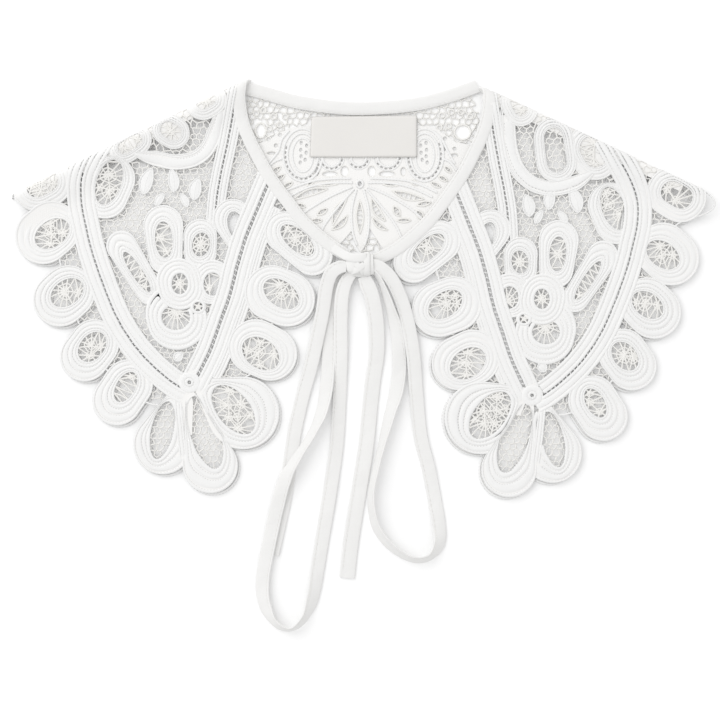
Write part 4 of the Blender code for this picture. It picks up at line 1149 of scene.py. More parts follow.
def end_tree(tree, mesh, material):
    """Close a tree: smooth shading, plain geometry and its material."""
    smooth = add_node(tree, "SetShadeSmooth", Geometry=mesh)
    plain = add_node(tree, "RealizeInstances", Geometry=smooth)
    dressed = add_node(tree, "SetMaterial", Geometry=plain, Material=material)
    add_node(tree, "GroupOutput", Geometry=dressed)


def level_curve(tree, mesh, step=None):
    """The curve along a mesh's edges, its normal up, with a point every step if one is given."""
    curve = add_node(tree, "MeshToCurve", Mesh=mesh)
    if step:
        curve = add_node(tree, "ResampleCurve", Curve=curve, Length=step, mode="LENGTH")
    return add_node(tree, "SetCurveNormal", Curve=curve, mode="Z_UP")


def round_profile(tree, sides):
    """A circle of radius 1 to sweep."""
    return add_node(tree, "CurvePrimitiveCircle", Resolution=sides, Radius=1.0)


def swept(tree, curve, profile):
    """Sweep a profile along a curve, closed at its ends, with a map along it and round it."""
    place = add_node(tree, "SplineParameter")
    curve = keep(tree, curve, "along", place["Length"])
    profile = keep(tree, profile, "around", place["Factor"])
    mesh = add_node(tree, "CurveToMesh", Curve=curve, Profile_Curve=profile,
                    Scale=stored(tree, "half_width"), Fill_Caps=True)
    pair = add_node(tree, "CombineXYZ", stored(tree, "along"), stored(tree, "around"))
    return keep(tree, mesh, "UVMap", pair, "CORNER", "FLOAT2")


def power_keeping_sign(value, exponent):
    """A number raised to a power with its sign kept."""
    return calc("POWER", calc("ABSOLUTE", value), exponent) * calc("SIGN", value)


def flattened(tree, mesh, fullness):
    """Flatten swept threads to their own height, full at the shoulders, and lift them."""
    x, y, z = position_parts(tree)
    up = power_keeping_sign(z / stored(tree, "half_width"), fullness) * stored(tree, "height")
    spot = add_node(tree, "CombineXYZ", x, y, up + stored(tree, "lift"))
    return add_node(tree, "SetPosition", Geometry=mesh, Position=spot)


def wire_mesh(name, wires):
    """A mesh of the wires' points and edges, with their numbers stored on the points."""
    points, edges, numbers = wires
    data = flat_mesh(name, points, edges, [])
    for label, column in numbers.items():
        data.attributes.new(label, "FLOAT", "POINT").data.foreach_set("value", column)
    return data


def flat_mesh(name, points, edges, faces):
    """A mesh of points in millimetres, and the edges or faces between them."""
    data = bpy.data.meshes.new(name)
    data.from_pydata([Vector(point) * MM for point in points], edges, faces)
    return data


def grown(name, data, tree, **values):
    """Run a tree on a mesh, and keep what comes out as a plain mesh object."""
    piece = new_object(name, data)
    modifier = piece.modifiers.new("grown", "NODES")
    modifier.node_group = tree
    for socket in tree.interface.items_tree:
        label = socket.name.replace(" ", "_")
        if socket.in_out == "INPUT" and label in values:
            modifier[socket.identifier] = values[label]
    graph = bpy.context.evaluated_depsgraph_get()
    result = bpy.data.meshes.new_from_object(piece.evaluated_get(graph))
    piece.modifiers.remove(modifier)
    piece.data = result
    bpy.data.meshes.remove(data)
    result.name = name
    return piece


tree, taken = new_tree("laid_thread", Step="Float", Sides="Int", Fullness="Float",
                       Material="Material")
curve = level_curve(tree, taken["Geometry"], taken["Step"])
mesh = swept(tree, curve, round_profile(tree, taken["Sides"]))
end_tree(tree, flattened(tree, mesh, taken["Fullness"]), taken["Material"])
thread_tree = tree

# The net: rows of points a pitch apart, every second row moved on by half, joined to triangles
# whose dual is a honeycomb. It is jittered, kept where it lies over the area, and swept.
tree, taken = new_tree("net_ground", Pitch="Float", Jitter="Float", Half_width="Float",
                       Half_height="Float", Lift="Float", Sides="Int", Seed="Int",
                       Material="Material")
pitch = taken["Pitch"]
box = add_node(tree, "BoundBox", Geometry=taken["Geometry"])
size = add_node(tree, "SeparateXYZ", calc("SUBTRACT", box["Max"], box["Min"], kind="VectorMath"))
middle = add_node(tree, "VectorMath", calc("ADD", box["Max"], box["Min"], kind="VectorMath"),
                  Scale=0.5, operation="SCALE")
row_height = pitch * math.sqrt(0.75)
columns = calc("CEIL", size["X"] / pitch + 3.0)
rows = calc("CEIL", size["Y"] / row_height + 3.0)
tall = row_height * (rows - 1.0)
grid = add_node(tree, "MeshGrid", Size_X=pitch * (columns - 1.0), Size_Y=tall,
                Vertices_X=columns, Vertices_Y=rows)
row = calc("ROUND", (position_parts(tree)["Y"] + tall * 0.5) / row_height)
push = calc("FLOORED_MODULO", row, 2.0) * (pitch * 0.5)
grid = add_node(tree, "SetPosition", Geometry=grid, Offset=add_node(tree, "CombineXYZ", push))
mesh = add_node(tree, "Triangulate", Mesh=grid, quad_method="SHORTEST_DIAGONAL")
mesh = add_node(tree, "DualMesh", Mesh=mesh)
reach = add_node(tree, "CombineXYZ", taken["Jitter"], taken["Jitter"])
back_reach = calc("MULTIPLY", reach, (-1.0, -1.0, 0.0), kind="VectorMath")
jolt = add_node(tree, "RandomValue", Min=back_reach, Max=reach, Seed=taken["Seed"],
                data_type="FLOAT_VECTOR")["Value"]
here = add_node(tree, "InputPosition")
spot = calc("ADD", calc("ADD", jolt, middle, kind="VectorMath"), here, kind="VectorMath")
mesh = add_node(tree, "SetPosition", Geometry=mesh, Position=spot)
above = calc("ADD", here, (0.0, 0.0, 1.0), kind="VectorMath")
hit = add_node(tree, "Raycast", Target_Geometry=taken["Geometry"], Source_Position=above,
               Ray_Direction=(0.0, 0.0, -1.0), Ray_Length=2.0)["Is Hit"]
missed = add_node(tree, "BooleanMath", hit, operation="NOT")
mesh = add_node(tree, "DeleteGeometry", Geometry=mesh, Selection=missed, domain="POINT")
for label, source in (("half_width", "Half width"), ("height", "Half height"), ("lift", "Lift")):
    mesh = keep(tree, mesh, label, taken[source])
mesh = swept(tree, level_curve(tree, mesh), round_profile(tree, taken["Sides"]))
end_tree(tree, flattened(tree, mesh, THREAD_FULLNESS), taken["Material"])
net_tree = tree

# Stitches: small bars set across a line or along it, a spacing apart.
tree, taken = new_tree("row_of_stitches", Spacing="Float", Length="Float", Width="Float",
                       Height="Float", Lean="Float", Lift="Float", Material="Material")
curve = add_node(tree, "MeshToCurve", Mesh=taken["Geometry"])
spots = add_node(tree, "CurveToPoints", Curve=curve, Length=taken["Spacing"], mode="LENGTH")
aim = add_node(tree, "AlignRotationToVector", Vector=spots["Tangent"], axis="X")
lean = add_node(tree, "AxisAngleToRotation", Axis=(0.0, 0.0, 1.0), Angle=taken["Lean"])
aim = add_node(tree, "RotateRotation", aim, lean, rotation_space="LOCAL")
bar = add_node(tree, "MeshUVSphere", Segments=6, Rings=5, Radius=0.5)
size = add_node(tree, "CombineXYZ", taken["Length"], taken["Width"], taken["Height"])
bars = add_node(tree, "InstanceOnPoints", Points=spots["Points"], Instance=bar, Rotation=aim,
                Scale=size)
bars = add_node(tree, "RealizeInstances", Geometry=bars)
lift = add_node(tree, "CombineXYZ", Z=taken["Lift"])
end_tree(tree, add_node(tree, "SetPosition", Geometry=bars, Offset=lift), taken["Material"])
stitch_tree = tree

# Finishes: each group puts out what changes over the cloth, for the shader it is placed beside.
# Fuzz: loose fibres, and a slow change of tone.
fuzz_group, taken = new_tree(
    "cotton_fuzz", {"Colour": "Color", "Roughness": "Float", "Height": "Float"},
    Place="Vector", Fibres="Float", Shade="Float", Colour="Color")
fibres = add_node(fuzz_group, "TexNoise", Vector=taken["Place"], Detail=2.0,
                  Scale=taken["Fibres"])["Fac"]
slow = add_node(fuzz_group, "TexNoise", Vector=taken["Place"], Scale=55.0, Detail=2.0)["Fac"]
toned = add_node(fuzz_group, "VectorMath", taken["Colour"],
                 Scale=1.0 - (fibres + slow) * taken["Shade"], operation="SCALE")
add_node(fuzz_group, "GroupOutput", Colour=toned, Roughness=0.72 + fibres * 0.26, Height=fibres)

# Weave: threads that cross over and under, turned on the surface.
weave_group, taken = new_tree("plain_weave", {"Height": "Float"}, Place="Vector",
                              Threads="Float", Stretch="Float", Turn="Float")
turned = add_node(weave_group, "VectorRotate", Vector=taken["Place"], Angle=taken["Turn"],
                  rotation_type="Z_AXIS")
place = add_node(weave_group, "SeparateXYZ", turned)
rate = taken["Threads"] * math.pi
crossing = calc("SINE", place["X"] * rate) * calc("SINE", place["Y"] * taken["Stretch"] * rate)
add_node(weave_group, "GroupOutput", Height=calc("MULTIPLY_ADD", crossing, 0.5, 0.5))

# Satin stitch: threads laid side by side over a cord, with dashes of painted shade on its sides in the
# valleys, where small stitch holes lie in shadow.
stitch_group, taken = new_tree("satin_stitch", {"Height": "Float", "Dashes": "Float"},
                               Place="Vector", Pitch="Float", Slant="Float", Dash="Float")
place = add_node(stitch_group, "SeparateXYZ", taken["Place"])
phase = place["X"] / taken["Pitch"] + place["Y"] * taken["Slant"]
laid = calc("SINE", phase * (2 * math.pi))
valley = add_node(stitch_group, "MapRange", Value=calc("ABSOLUTE", place["Y"] - 0.75),
                  From_Min=0.12, From_Max=0.19, interpolation_type="SMOOTHSTEP")
beat = calc("SINE", place["X"] / taken["Dash"] * (2 * math.pi))
beat = add_node(stitch_group, "MapRange", Value=beat, From_Min=-0.1, From_Max=0.5,
                interpolation_type="SMOOTHSTEP")
add_node(stitch_group, "GroupOutput", Height=calc("MULTIPLY_ADD", laid, 0.5, 0.5),
         Dashes=valley * beat)


def new_cotton(name, colour, roughness, fibres, shade):
    """A cotton's material, tree and shader, with the object's coordinates and its own fuzz."""
    material, tree, shader = new_material(name, colour, roughness)
    place = add_node(tree, "TexCoord")["Object"]
    fuzz = add_node(tree, "Group", node_tree=fuzz_group, Place=place, Fibres=fibres,
                    Shade=shade, Colour=(*colour, 1.0))
    return material, tree, shader, place, fuzz


def finish_surface(tree, shader, colour, rough, height, depth):
    """Link a finish to its shader, with a bump of this depth in metres."""
    bump = add_node(tree, "Bump", Height=height, Distance=depth, Strength=0.7)
    for name, value in (("Base Color", colour), ("Roughness", rough), ("Normal", bump)):
        tree.links.new(value.socket, shader.inputs[name])


LACE_WHITE = (0.835, 0.833, 0.825)
# The net's colour: the cotton's white, tinted cream as painted warm shade.
NET_COTTON_AND_PAINTED_SHADE = (0.855, 0.84, 0.805)
# The ground cloth's colour: the cotton's white, with a slight tint of painted warm shade.
GROUND_COTTON_AND_PAINTED_SHADE = (0.84, 0.83, 0.812)

# The tapes: satin-stitched cord.
lace_finish, tree, shader, place, fuzz = new_cotton("lace_cotton", LACE_WHITE, 0.85, 2600.0, 0.04)
stitch = add_node(tree, "Group", node_tree=stitch_group, Pitch=0.0006, Slant=0.8, Dash=0.0021,
                  Place=add_node(tree, "UVMap", uv_map="UVMap"))
# The tape's colour is darkened in those dashes: painted shade in the valleys between its ridges.
toned = add_node(tree, "VectorMath", fuzz["Colour"], Scale=1.0 - stitch["Dashes"] * 0.45,
                 operation="SCALE")
finish_surface(tree, shader, toned, fuzz["Roughness"],
               stitch["Height"] * 0.6 + fuzz["Height"] * 0.7, 0.00022)

# The webs and the net: a finer thread, twisted. Its colour is the cotton's white with a cream tint of
# painted warm shade.
net_finish, tree, shader, place, fuzz = new_cotton("lace_net_cotton", NET_COTTON_AND_PAINTED_SHADE, 0.9, 2600.0, 0.05)
twist = add_node(tree, "Group", node_tree=stitch_group, Pitch=0.0009, Slant=2.0, Dash=0.0021,
                 Place=add_node(tree, "UVMap", uv_map="UVMap"))
finish_surface(tree, shader, fuzz["Colour"], fuzz["Roughness"],
               twist["Height"] + fuzz["Height"] * 0.5, 0.0002)

# The cloth between the cords: close needle stitches without a direction of their own. Its colour is the
# cotton's white with a slight tint of painted warm shade.
ground_finish, tree, shader, place, fuzz = new_cotton("lace_ground_cotton", GROUND_COTTON_AND_PAINTED_SHADE, 0.85,
                                                      1900.0, 0.05)
weave = add_node(tree, "Group", node_tree=weave_group, Place=place, Threads=1300.0, Stretch=0.6,
                 Turn=0.5)
finish_surface(tree, shader, fuzz["Colour"], fuzz["Roughness"],
               weave["Height"] * 0.5 + fuzz["Height"], 0.0002)


def settle(piece, fold, thick=NET):
    """Move a piece from its flat pattern to where the cloth lies, over the model's origin.

    What stands above `thick` is proud of the cloth, and dies out under the fold.
    """
    data = piece.data
    column = np.empty(len(data.vertices) * 3, dtype=np.float32)
    data.vertices.foreach_get("co", column)
    spots = column.reshape(-1, 3).astype(np.float64) / MM
    height = np.minimum(spots[:, 2], thick) - thick / 2
    proud = np.maximum(spots[:, 2] - thick, 0.0)
    if fold is not None:
        inward = np.array(fold_axes(fold)[1])
        depth = (spots[:, :2] - np.array((fold.x, fold.y))) @ inward
        radius = ROLL_AXIS - thick / 2
        top = ROLL_AXIS + radius
        share = np.clip((depth - ROLL) / RISE, 0.0, 1.0)
        middle = top + (LAYER + thick / 2 - top) * share * share * (3 - 2 * share)
        turn = np.pi * np.maximum(ROLL - depth, 0.0) / ROLL_GIRTH
        reach = radius + height + proud * np.maximum(0.0, 1 - turn / (PROUD_TURN * np.pi))
        rolled = depth < ROLL
        pull = np.where(rolled, ROLL - reach * np.sin(turn) - depth, 0.0)
        spots[:, :2] += pull[:, None] * inward
        spots[:, 2] = np.where(rolled, ROLL_AXIS + reach * np.cos(turn),
                               middle + height + proud)
    spots[:, 0] += PATTERN_X
    spots[:, 1] += PATTERN_Y
    data.vertices.foreach_set("co", (spots * MM).astype(np.float32).ravel())
    data.update()


Panel = namedtuple("Panel", "layers grounds folds edge_depth cut leaves plates bare "
                            "tapes webs ladders cloth")


def new_panel(layers, grounds, folds, edge_depth, cut, leaves=(), plates=(), bare=()):
    """A panel's design, with empty lists for the threads and the cloth that make it."""
    return Panel(layers, grounds, folds, edge_depth, cut, leaves, plates, bare, new_wires(),
                 new_wires(), new_wires(), ([], []))


def work_panel(name, panel, fold, seed):
    """Make a panel's tapes, webs, stitches and net, and lay them in place."""
    for number, layer in enumerate(panel.layers):
        lay_layer(panel, layer, panel.layers[:number])
    for leaf in panel.leaves:
        lay_leaf(panel.tapes, leaf)
    for ground in panel.grounds:
        edge = smooth_path([*ground, ground[0]], PATH_STEP)
        for run, _whole in runs_that_show(
                edge, False, lambda point: shows(panel, panel.layers, point)):
            lay_wire(panel.tapes, [edge[number] for number in run], *GROUND_EDGE)
    tapes = grown(name + "_tapes", wire_mesh("wires", panel.tapes), thread_tree,
                  Step=RIDGE_STEP * MM, Sides=RIDGE_SIDES, Fullness=RIDGE_FULLNESS,
                  Material=lace_finish)
    webs = grown(name + "_webs", wire_mesh("wires", panel.webs), thread_tree,
                 Step=WEB_STEP * MM, Sides=THREAD_SIDES, Fullness=THREAD_FULLNESS,
                 Material=net_finish)
    points, faces, area = net_area(panel)
    net = grown(name + "_net", flat_mesh("area", points, [], faces), net_tree,
                Pitch=NET_PITCH * MM, Jitter=NET_JITTER * MM, Half_width=NET_HALF * MM,
                Half_height=NET_HEIGHT * MM, Lift=NET_LIFT * MM, Sides=THREAD_SIDES, Seed=seed,
                Material=net_finish)
    ladders = grown(name + "_ladders", wire_mesh("wires", panel.ladders), stitch_tree,
                    Lean=LADDER_LEAN, Material=lace_finish,
                    **{label: size * MM for label, size in LADDER_BARS.items()})
    points, faces = panel.cloth
    cloth = new_object(name + "_cloth", flat_mesh(name + "_cloth", points, [], faces))
    cloth.data.materials.append(ground_finish)
    parts = [tapes, webs, net, ladders, cloth]
    for part in parts:
        settle(part, fold)
        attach(part, "root")
    area * MM * MM
    parts[1:]
    return parts


def lace_edge(points, side):
    """The lace's edge under a binding, which lies on this side of it (1 is its left)."""
    return offset_path(smooth_path(points, BINDING_STEP), side * (BINDING_HALF - UNDER_BINDING))


def design_layers(mirrored, shift=None):
    """The layers of a front's design, in their order, or of the back's under it."""
    layers = {}
    for loop in SCALLOPS + FLOWER:
        if mirrored:
            loop = RIGHT_LOOPS.get(loop.name) or right_copy(loop)
        if shift:
            loop = moved(loop, *shift)
        kind = loop.name.split("_")[0]
        ridges = {"heart": HEART_RIDGES, "tip": TIP_RIDGES, "eyelet": SMALL_RIDGES,
                  "hub": HUB_RIDGES}.get(kind, BACK_RIDGES if shift else SCALLOP_RIDGES)
        open_ring = shift or loop.name in ("hub", "petal_4")
        netted = ("tip_left", "tip_mid", "fold_2") if mirrored else ("tip_left", "tip_mid")
        filled = "net" if loop.name in netted else "web"
        layers[loop.name] = loop_layer(loop, ridges, "" if open_ring else filled)
    for tape in TAPES:
        if mirrored:
            tape = (tape._replace(points=RIGHT_CRESCENT) if tape.name == "crescent"
                    else right_copy(tape))
        if shift:
            tape = moved(tape, *shift)
        layers[tape.name] = tape_layer(tape, {
            "follower": FOLLOWER_RIDGES, "crescent": CRESCENT_RIDGES}.get(tape.name, TAPE_RIDGES))
    return [layers[name] for name in FRONT_ORDER]


def work_fan(panel):
    """Work the back's own middle: solid plates with slots, bars, low ridges and cord rims."""
    outlines = [(FAN, "solid")]
    for slot in FAN_SLOTS:
        one, other = slot_sides(slot)
        outlines.append((one[:-1] + other[:0:-1], "hole"))
        rim = slot_sides(slot._replace(width=slot.width + SLOT_RIM_APART))
        lay_wire(panel.webs, rim[0][:-1] + rim[1][:0:-1], *SLOT_RIM, closed=True)
        bars = int(lengths_along(one)[-1] / SLOT_BARS_APART)
        for number in range(1, bars + 1):
            place = number / (bars + 1) * SLOT_STEPS
            before, share = int(place), place % 1
            ends = [side[before].lerp(side[min(SLOT_STEPS, before + 1)], share)
                    for side in (one, other)]
            over = (ends[1] - ends[0]).normalized() * 0.5
            lay_wire(panel.webs, [ends[0] - over, ends[1] + over], *SLOT_BAR)
    outlines.append((FIELD, "solid"))
    for oval in SIDE_OVALS:
        for x, y in OVAL_HOLES:
            hole = Oval(oval.x + x * (1 if oval.x > 0 else -1), oval.y + y, *OVAL_HOLE)
            outlines.append((oval_points(hole, count=10), "hole"))
    for ovals, arc in ((SIDE_OVALS, SIDE_DASHES), (SMALL_SCALLOPS, SMALL_DASHES)):
        for oval in ovals:
            outlines += [(hole, "hole") for hole in dashes_round(oval, *arc)]
    outlines += [(outline, "hole") for outline in panel.bare]
    outlines.append((oval_points(HUB_HOLE, count=14), "hole"))
    add_plate(panel.cloth, outlines)
    for rim in FAN_RIMS:
        for oval in rim.ovals:
            lay_wire(panel.tapes, oval_points(oval, rim.grow), *rim.thread, closed=True)
    for line in FAN_RIDGES:
        lay_wire(panel.tapes, smooth_path(line, FAN_RIDGE_STEP), *FAN_RIDGE)
    for hole in BACK_HOLES:
        lay_wire(panel.webs, oval_points(hole, count=12), *HOLE_RIM, closed=True)
    for x, y in RING_EYELETS:
        lay_wire(panel.webs, oval_points(Oval(x, y, EYELET_RIM_RADIUS, EYELET_RIM_RADIUS), count=12),
                 *EYELET_RIM, closed=True)


neck_layer = Layer("neck", outline=vectors(NECK_LEFT + NECK_BACK + NECK_RIGHT[::-1]))
back_bare = [oval_points(hole, count=12) for hole in BACK_HOLES]
back_bare += [oval_points(Oval(x, y, EYELET, EYELET), count=8) for x, y in RING_EYELETS]
back_layers = [neck_layer, *design_layers(False, BACK_LEFT_SHIFT),
               *design_layers(True, BACK_RIGHT_SHIFT)]
back_panel = new_panel(back_layers, [vectors(BACK_GROUND)], [LEFT_FOLD, RIGHT_FOLD],
                       ROLL + SEAM_GAP, lace_edge(NECK_BACK, -1) + vectors(CLEAR_OF_BACK),
                       plates=[FAN, FIELD], bare=back_bare)
work_fan(back_panel)
back_parts = work_panel("back", back_panel, None, 3)
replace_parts(back_parts[0], "lace_back")


# ---- The label -----------------------------------------------------------------------------
# A woven satin label with its ends turned under, sewn flat on the back lace just below the neck
# binding. It is bare.

LABEL_CORNERS = ((-33.5, 86.0), (36.0, 86.0), (36.0, 113.0), (-32.5, 112.3))
LABEL_WIDE = 69
LABEL_HIGH = 27
LABEL_THICK = 0.9
LABEL_COLUMNS = 72
LABEL_ROWS = 30
LABEL_ROUND = 0.45
MERGE = 1e-7
HEM_WIDE = 3.4
HEM_DEPTH = 0.18
HEM_HALF = 0.5
RIPPLE = 0.22
LABEL_CREAM = (0.70, 0.68, 0.65)


def label_mesh():
    """A thin rounded slab between the label's corners, faintly rippled."""
    low_left, low_right, high_right, high_left = [Vector(corner) for corner in LABEL_CORNERS]
    mesh = bmesh.new()
    for side in (1, -1):
        rows = []
        for row in range(LABEL_ROWS + 1):
            v = row / LABEL_ROWS
            line = []
            for column in range(LABEL_COLUMNS + 1):
                u = column / LABEL_COLUMNS
                spot = low_left.lerp(low_right, u).lerp(high_left.lerp(high_right, u), v)
                rim = min(u * LABEL_WIDE, (1 - u) * LABEL_WIDE, v * LABEL_HIGH,
                          (1 - v) * LABEL_HIGH)
                edge = math.sqrt(max(0.0, 1 - (1 - min(1.0, rim / LABEL_ROUND)) ** 2))
                ripple = RIPPLE * math.sin(u * 9.0 + 0.6) * math.sin(v * 2.6 + u * 1.3) * edge
                off_hem = abs(min(u, 1 - u) * LABEL_WIDE - HEM_WIDE)
                hem = HEM_DEPTH * ease(1 - off_hem / HEM_HALF) * edge
                up = LAYER + LABEL_THICK / 2 + side * LABEL_THICK / 2 * edge + ripple
                line.append(mesh.verts.new(Vector((spot.x + PATTERN_X, spot.y + PATTERN_Y,
                                                   up - (hem if side > 0 else 0))) * MM))
            rows.append(line)
        for low, high in zip(rows, rows[1:]):
            for number in range(LABEL_COLUMNS):
                corner = [low[number], low[number + 1], high[number + 1], high[number]]
                mesh.faces.new(corner if side > 0 else corner[::-1])
    bmesh.ops.remove_doubles(mesh, verts=mesh.verts, dist=MERGE)
    bmesh.ops.recalc_face_normals(mesh, faces=mesh.faces)
    if mesh.calc_volume(signed=True) < 0:
        bmesh.ops.reverse_faces(mesh, faces=mesh.faces)
    return smooth_mesh("label", mesh)


def smooth_mesh(name, mesh):
    """The finished mesh of what was modelled, shaded smooth."""
    data = bpy.data.meshes.new(name)
    mesh.to_mesh(data)
    mesh.free()
    data.shade_smooth()
    return data


finish, tree, shader, place, fuzz = new_cotton("label_satin", LABEL_CREAM, 0.45, 2200.0, 0.04)
weave = add_node(tree, "Group", node_tree=weave_group, Place=place, Threads=2400.0,
                 Stretch=0.35, Turn=0.0)
finish_surface(tree, shader, fuzz["Colour"], fuzz["Roughness"] - 0.32, weave["Height"], 0.00012)
label = new_object("woven_label", label_mesh())
label.data.materials.append(finish)
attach(label, "root")
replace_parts(label, "label")


# ---- The back binding ----------------------------------------------------------------------
# The neck edge is bound with a strip of cream cotton cut on the bias, folded over the lace and
# topstitched close to its inner edge. Across the back it lies flat behind the label.

BINDING_THICK = 2.4
BINDING_SIDES = 28
BINDING_POINTS = 2.5
BINDING_SEWN_AT = 0.7
BIAS_CREAM = (0.775, 0.77, 0.757)
STITCH = 2.1
STITCH_GAP = 1.2
STITCH_HALF = 0.2
STITCH_PROUD = 0.05
SEAM_HALF = 0.13

# Where a binding's stitches run, as shares of the way round it: the middle of its upper side, and
# how far from that towards its inner edge.
STRIP_TOP = 0.75
OFF_TOP = 0.105

# The folded tape: an oblong with rounded edges, thinner in a line near one edge where it is sewn.
tree, taken = new_tree("folded_tape", Sides="Int", Thickness_share="Float", Squareness="Float",
                       Sewn_at="Float", Sewn_depth="Float", Material="Material")
curve = add_node(tree, "SetCurveTilt", Curve=level_curve(tree, taken["Geometry"]),
                 Tilt=stored(tree, "turn"))
profile = round_profile(tree, taken["Sides"])
round_place = position_parts(tree)
across = power_keeping_sign(round_place["X"], taken["Squareness"])
up = power_keeping_sign(round_place["Y"], taken["Squareness"])
off_line = (across - taken["Sewn at"]) / SEAM_HALF
dip = 1.0 - calc("EXPONENT", -1.0 * (off_line * off_line)) * taken["Sewn depth"]
square_place = add_node(tree, "CombineXYZ", across, up * dip * taken["Thickness share"])
profile = add_node(tree, "SetPosition", Geometry=profile, Position=square_place)
end_tree(tree, swept(tree, curve, profile), taken["Material"])
tape_tree = tree

bias_finish, tree, shader, place, fuzz = new_cotton("bias_cotton", BIAS_CREAM, 0.8, 1500.0, 0.05)
weave = add_node(tree, "Group", node_tree=weave_group, Place=place, Threads=1500.0, Stretch=1.0,
                 Turn=math.pi / 4)
slack = add_node(tree, "TexNoise", Vector=place, Scale=130.0, Detail=1.5)["Fac"]
finish_surface(tree, shader, fuzz["Colour"], fuzz["Roughness"],
               weave["Height"] * 0.5 + slack * 5.0, 0.00016)


def sew(name, tape, sides, place):
    """Sew a row of stitches along a swept tape, at a share of the way round it."""
    verts = tape.data.vertices
    row, under = round(place * sides), sides - round(place * sides)
    line = []
    for first in range(0, len(verts) // sides * sides, sides):
        spot, below = verts[first + row].co / MM, verts[first + under].co / MM
        line.append(spot + (spot - below).normalized() * STITCH_PROUD)
    travelled = lengths_along(line)

    def spot_at(distance):
        """The point this far along the line."""
        number = int(np.searchsorted(travelled, distance)) or 1
        share = (distance - travelled[number - 1]) / (travelled[number] - travelled[number - 1])
        return line[number - 1].lerp(line[number], share)

    points, edges = [], []
    for number in range(1, int(travelled[-1] / (STITCH + STITCH_GAP)) - 1):
        start = number * (STITCH + STITCH_GAP)
        points += [spot_at(start + STITCH * share) for share in (0, 0.5, 1)]
        edges += [(len(points) - 3, len(points) - 2), (len(points) - 2, len(points) - 1)]
    numbers = {"half_width": [STITCH_HALF * MM] * len(points), "turn": [0.0] * len(points)}
    stitches = grown(name, wire_mesh("wires", (points, edges, numbers)), tape_tree, Sides=6,
                     Thickness_share=0.8, Squareness=1.0, Sewn_at=0.0, Sewn_depth=0.0,
                     Material=net_finish)
    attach(stitches, "root")
    return stitches


def bind(name, points, fold, ends, node, inner):
    """A stretch of binding along its middle line, between its cut depths at the folds."""
    path = [point for point in smooth_path(points, BINDING_POINTS)
            if all(depth_from_fold(other, point) > depth for other, depth in ends)]
    wires = new_wires()
    lay_wire(wires, path, BINDING_HALF, 1.0)
    wires[2]["turn"] = [0.0] * len(path)
    binding = grown(name, wire_mesh("wires", wires), tape_tree, Sides=BINDING_SIDES,
                    Thickness_share=BINDING_THICK / BINDING_WIDTH, Squareness=0.7,
                    Sewn_at=inner * BINDING_SEWN_AT, Sewn_depth=0.25, Material=bias_finish)
    binding.data.transform(Matrix.Translation((0, 0, BINDING_THICK / 2 * MM)))
    settle(binding, fold, BINDING_THICK)
    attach(binding, "root")
    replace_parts(binding, node)
    stitches = sew(name + "_stitches", binding, BINDING_SIDES, STRIP_TOP + inner * OFF_TOP)
    lengths_along(path)[-1] * MM


bind("neck_back_binding", NECK_BACK, None,
     ((LEFT_FOLD, ROLL + SEAM_GAP), (RIGHT_FOLD, -0.4)), "binding_back", 1)


# ---- The lace fronts -----------------------------------------------------------------------
# Each front is a panel of tape lace like the back, rolled over at the shoulder: scalloped rings
# along its edges, two double straps that meet in a small hub above three tip petals, and a
# flower of rings and petals in net ground between the straps.

FRONT_LEAVES = (
    Leaf(-138.5, 70.5, 18.0, 9.0, 72.0, 1.0), Leaf(-122.5, 71.0, 15.5, 7.5, 98.0, -0.8),
    Leaf(-107.0, 65.5, 15.0, 8.5, 78.0, 0.8), Leaf(-130.5, 58.5, 10.0, 5.0, 55.0, 0.5),
    Leaf(-115.0, 58.0, 10.0, 5.0, 118.0, -0.5), Leaf(-118.6, -43.2, 7.0, 6.5, 40.0, 0.0),
)
SOLID_RINGS = (("fold_1", "fold_2", "fold_3", "outer_0"), ("fold_1", "fold_3"))
ROLL_CLOTH_DEPTH = 7.5
ROLL_CLOTH_STEP = 0.75
ROLL_CLOTH_ROW = 3.0
ROLL_CLOTH_HIGH = 0.5
ROLL_CLOTH_LOW = 0.05
PAST_THE_LACE = 200
LEFT_ROLL_SPAN = (-117.0, 32.0)
RIGHT_ROLL_SPAN = (8.0, 149.0)
# The corners that close what is cut away past each front's neck edge.
CLEAR_OF_LEFT = ((60, 180), (60, -60), (-6, -60), (-6, 18))
CLEAR_OF_RIGHT = ((-60, 180), (-60, -60), (4, -60), (4, 14))


def add_roll_cloth(cloth, fold, span):
    """Add the solid-worked strip that the lace has along its shoulder fold."""
    points, faces = cloth
    first = len(points)
    along, inward = fold_axes(fold)
    depths = [ROLL_END + SEAM_GAP + number * ROLL_CLOTH_STEP for number in range(
        int((ROLL_CLOTH_DEPTH - ROLL_END - SEAM_GAP) / ROLL_CLOTH_STEP) + 1)]
    count, rows = len(depths), int((span[1] - span[0]) / ROLL_CLOTH_ROW)
    for row in range(rows + 1):
        place = Vector((fold.x, fold.y)) + along * (span[0] + (span[1] - span[0]) * row / rows)
        points += [(*(place + inward * depth), ROLL_CLOTH_HIGH) for depth in depths]
        points += [(*(place + inward * depth), ROLL_CLOTH_LOW) for depth in reversed(depths)]
    for row in range(rows):
        here = first + row * 2 * count
        for number in range(2 * count):
            after = (number + 1) % (2 * count)
            faces.append((here + number, here + after, here + 2 * count + after,
                          here + 2 * count + number))
    for row, turned in ((0, 1), (rows, -1)):
        here = first + row * 2 * count
        for number in range(count - 1):
            face = (here + 2 * count - 1 - number, here + 2 * count - 2 - number,
                    here + number + 1, here + number)
            faces.append(face[::turned])


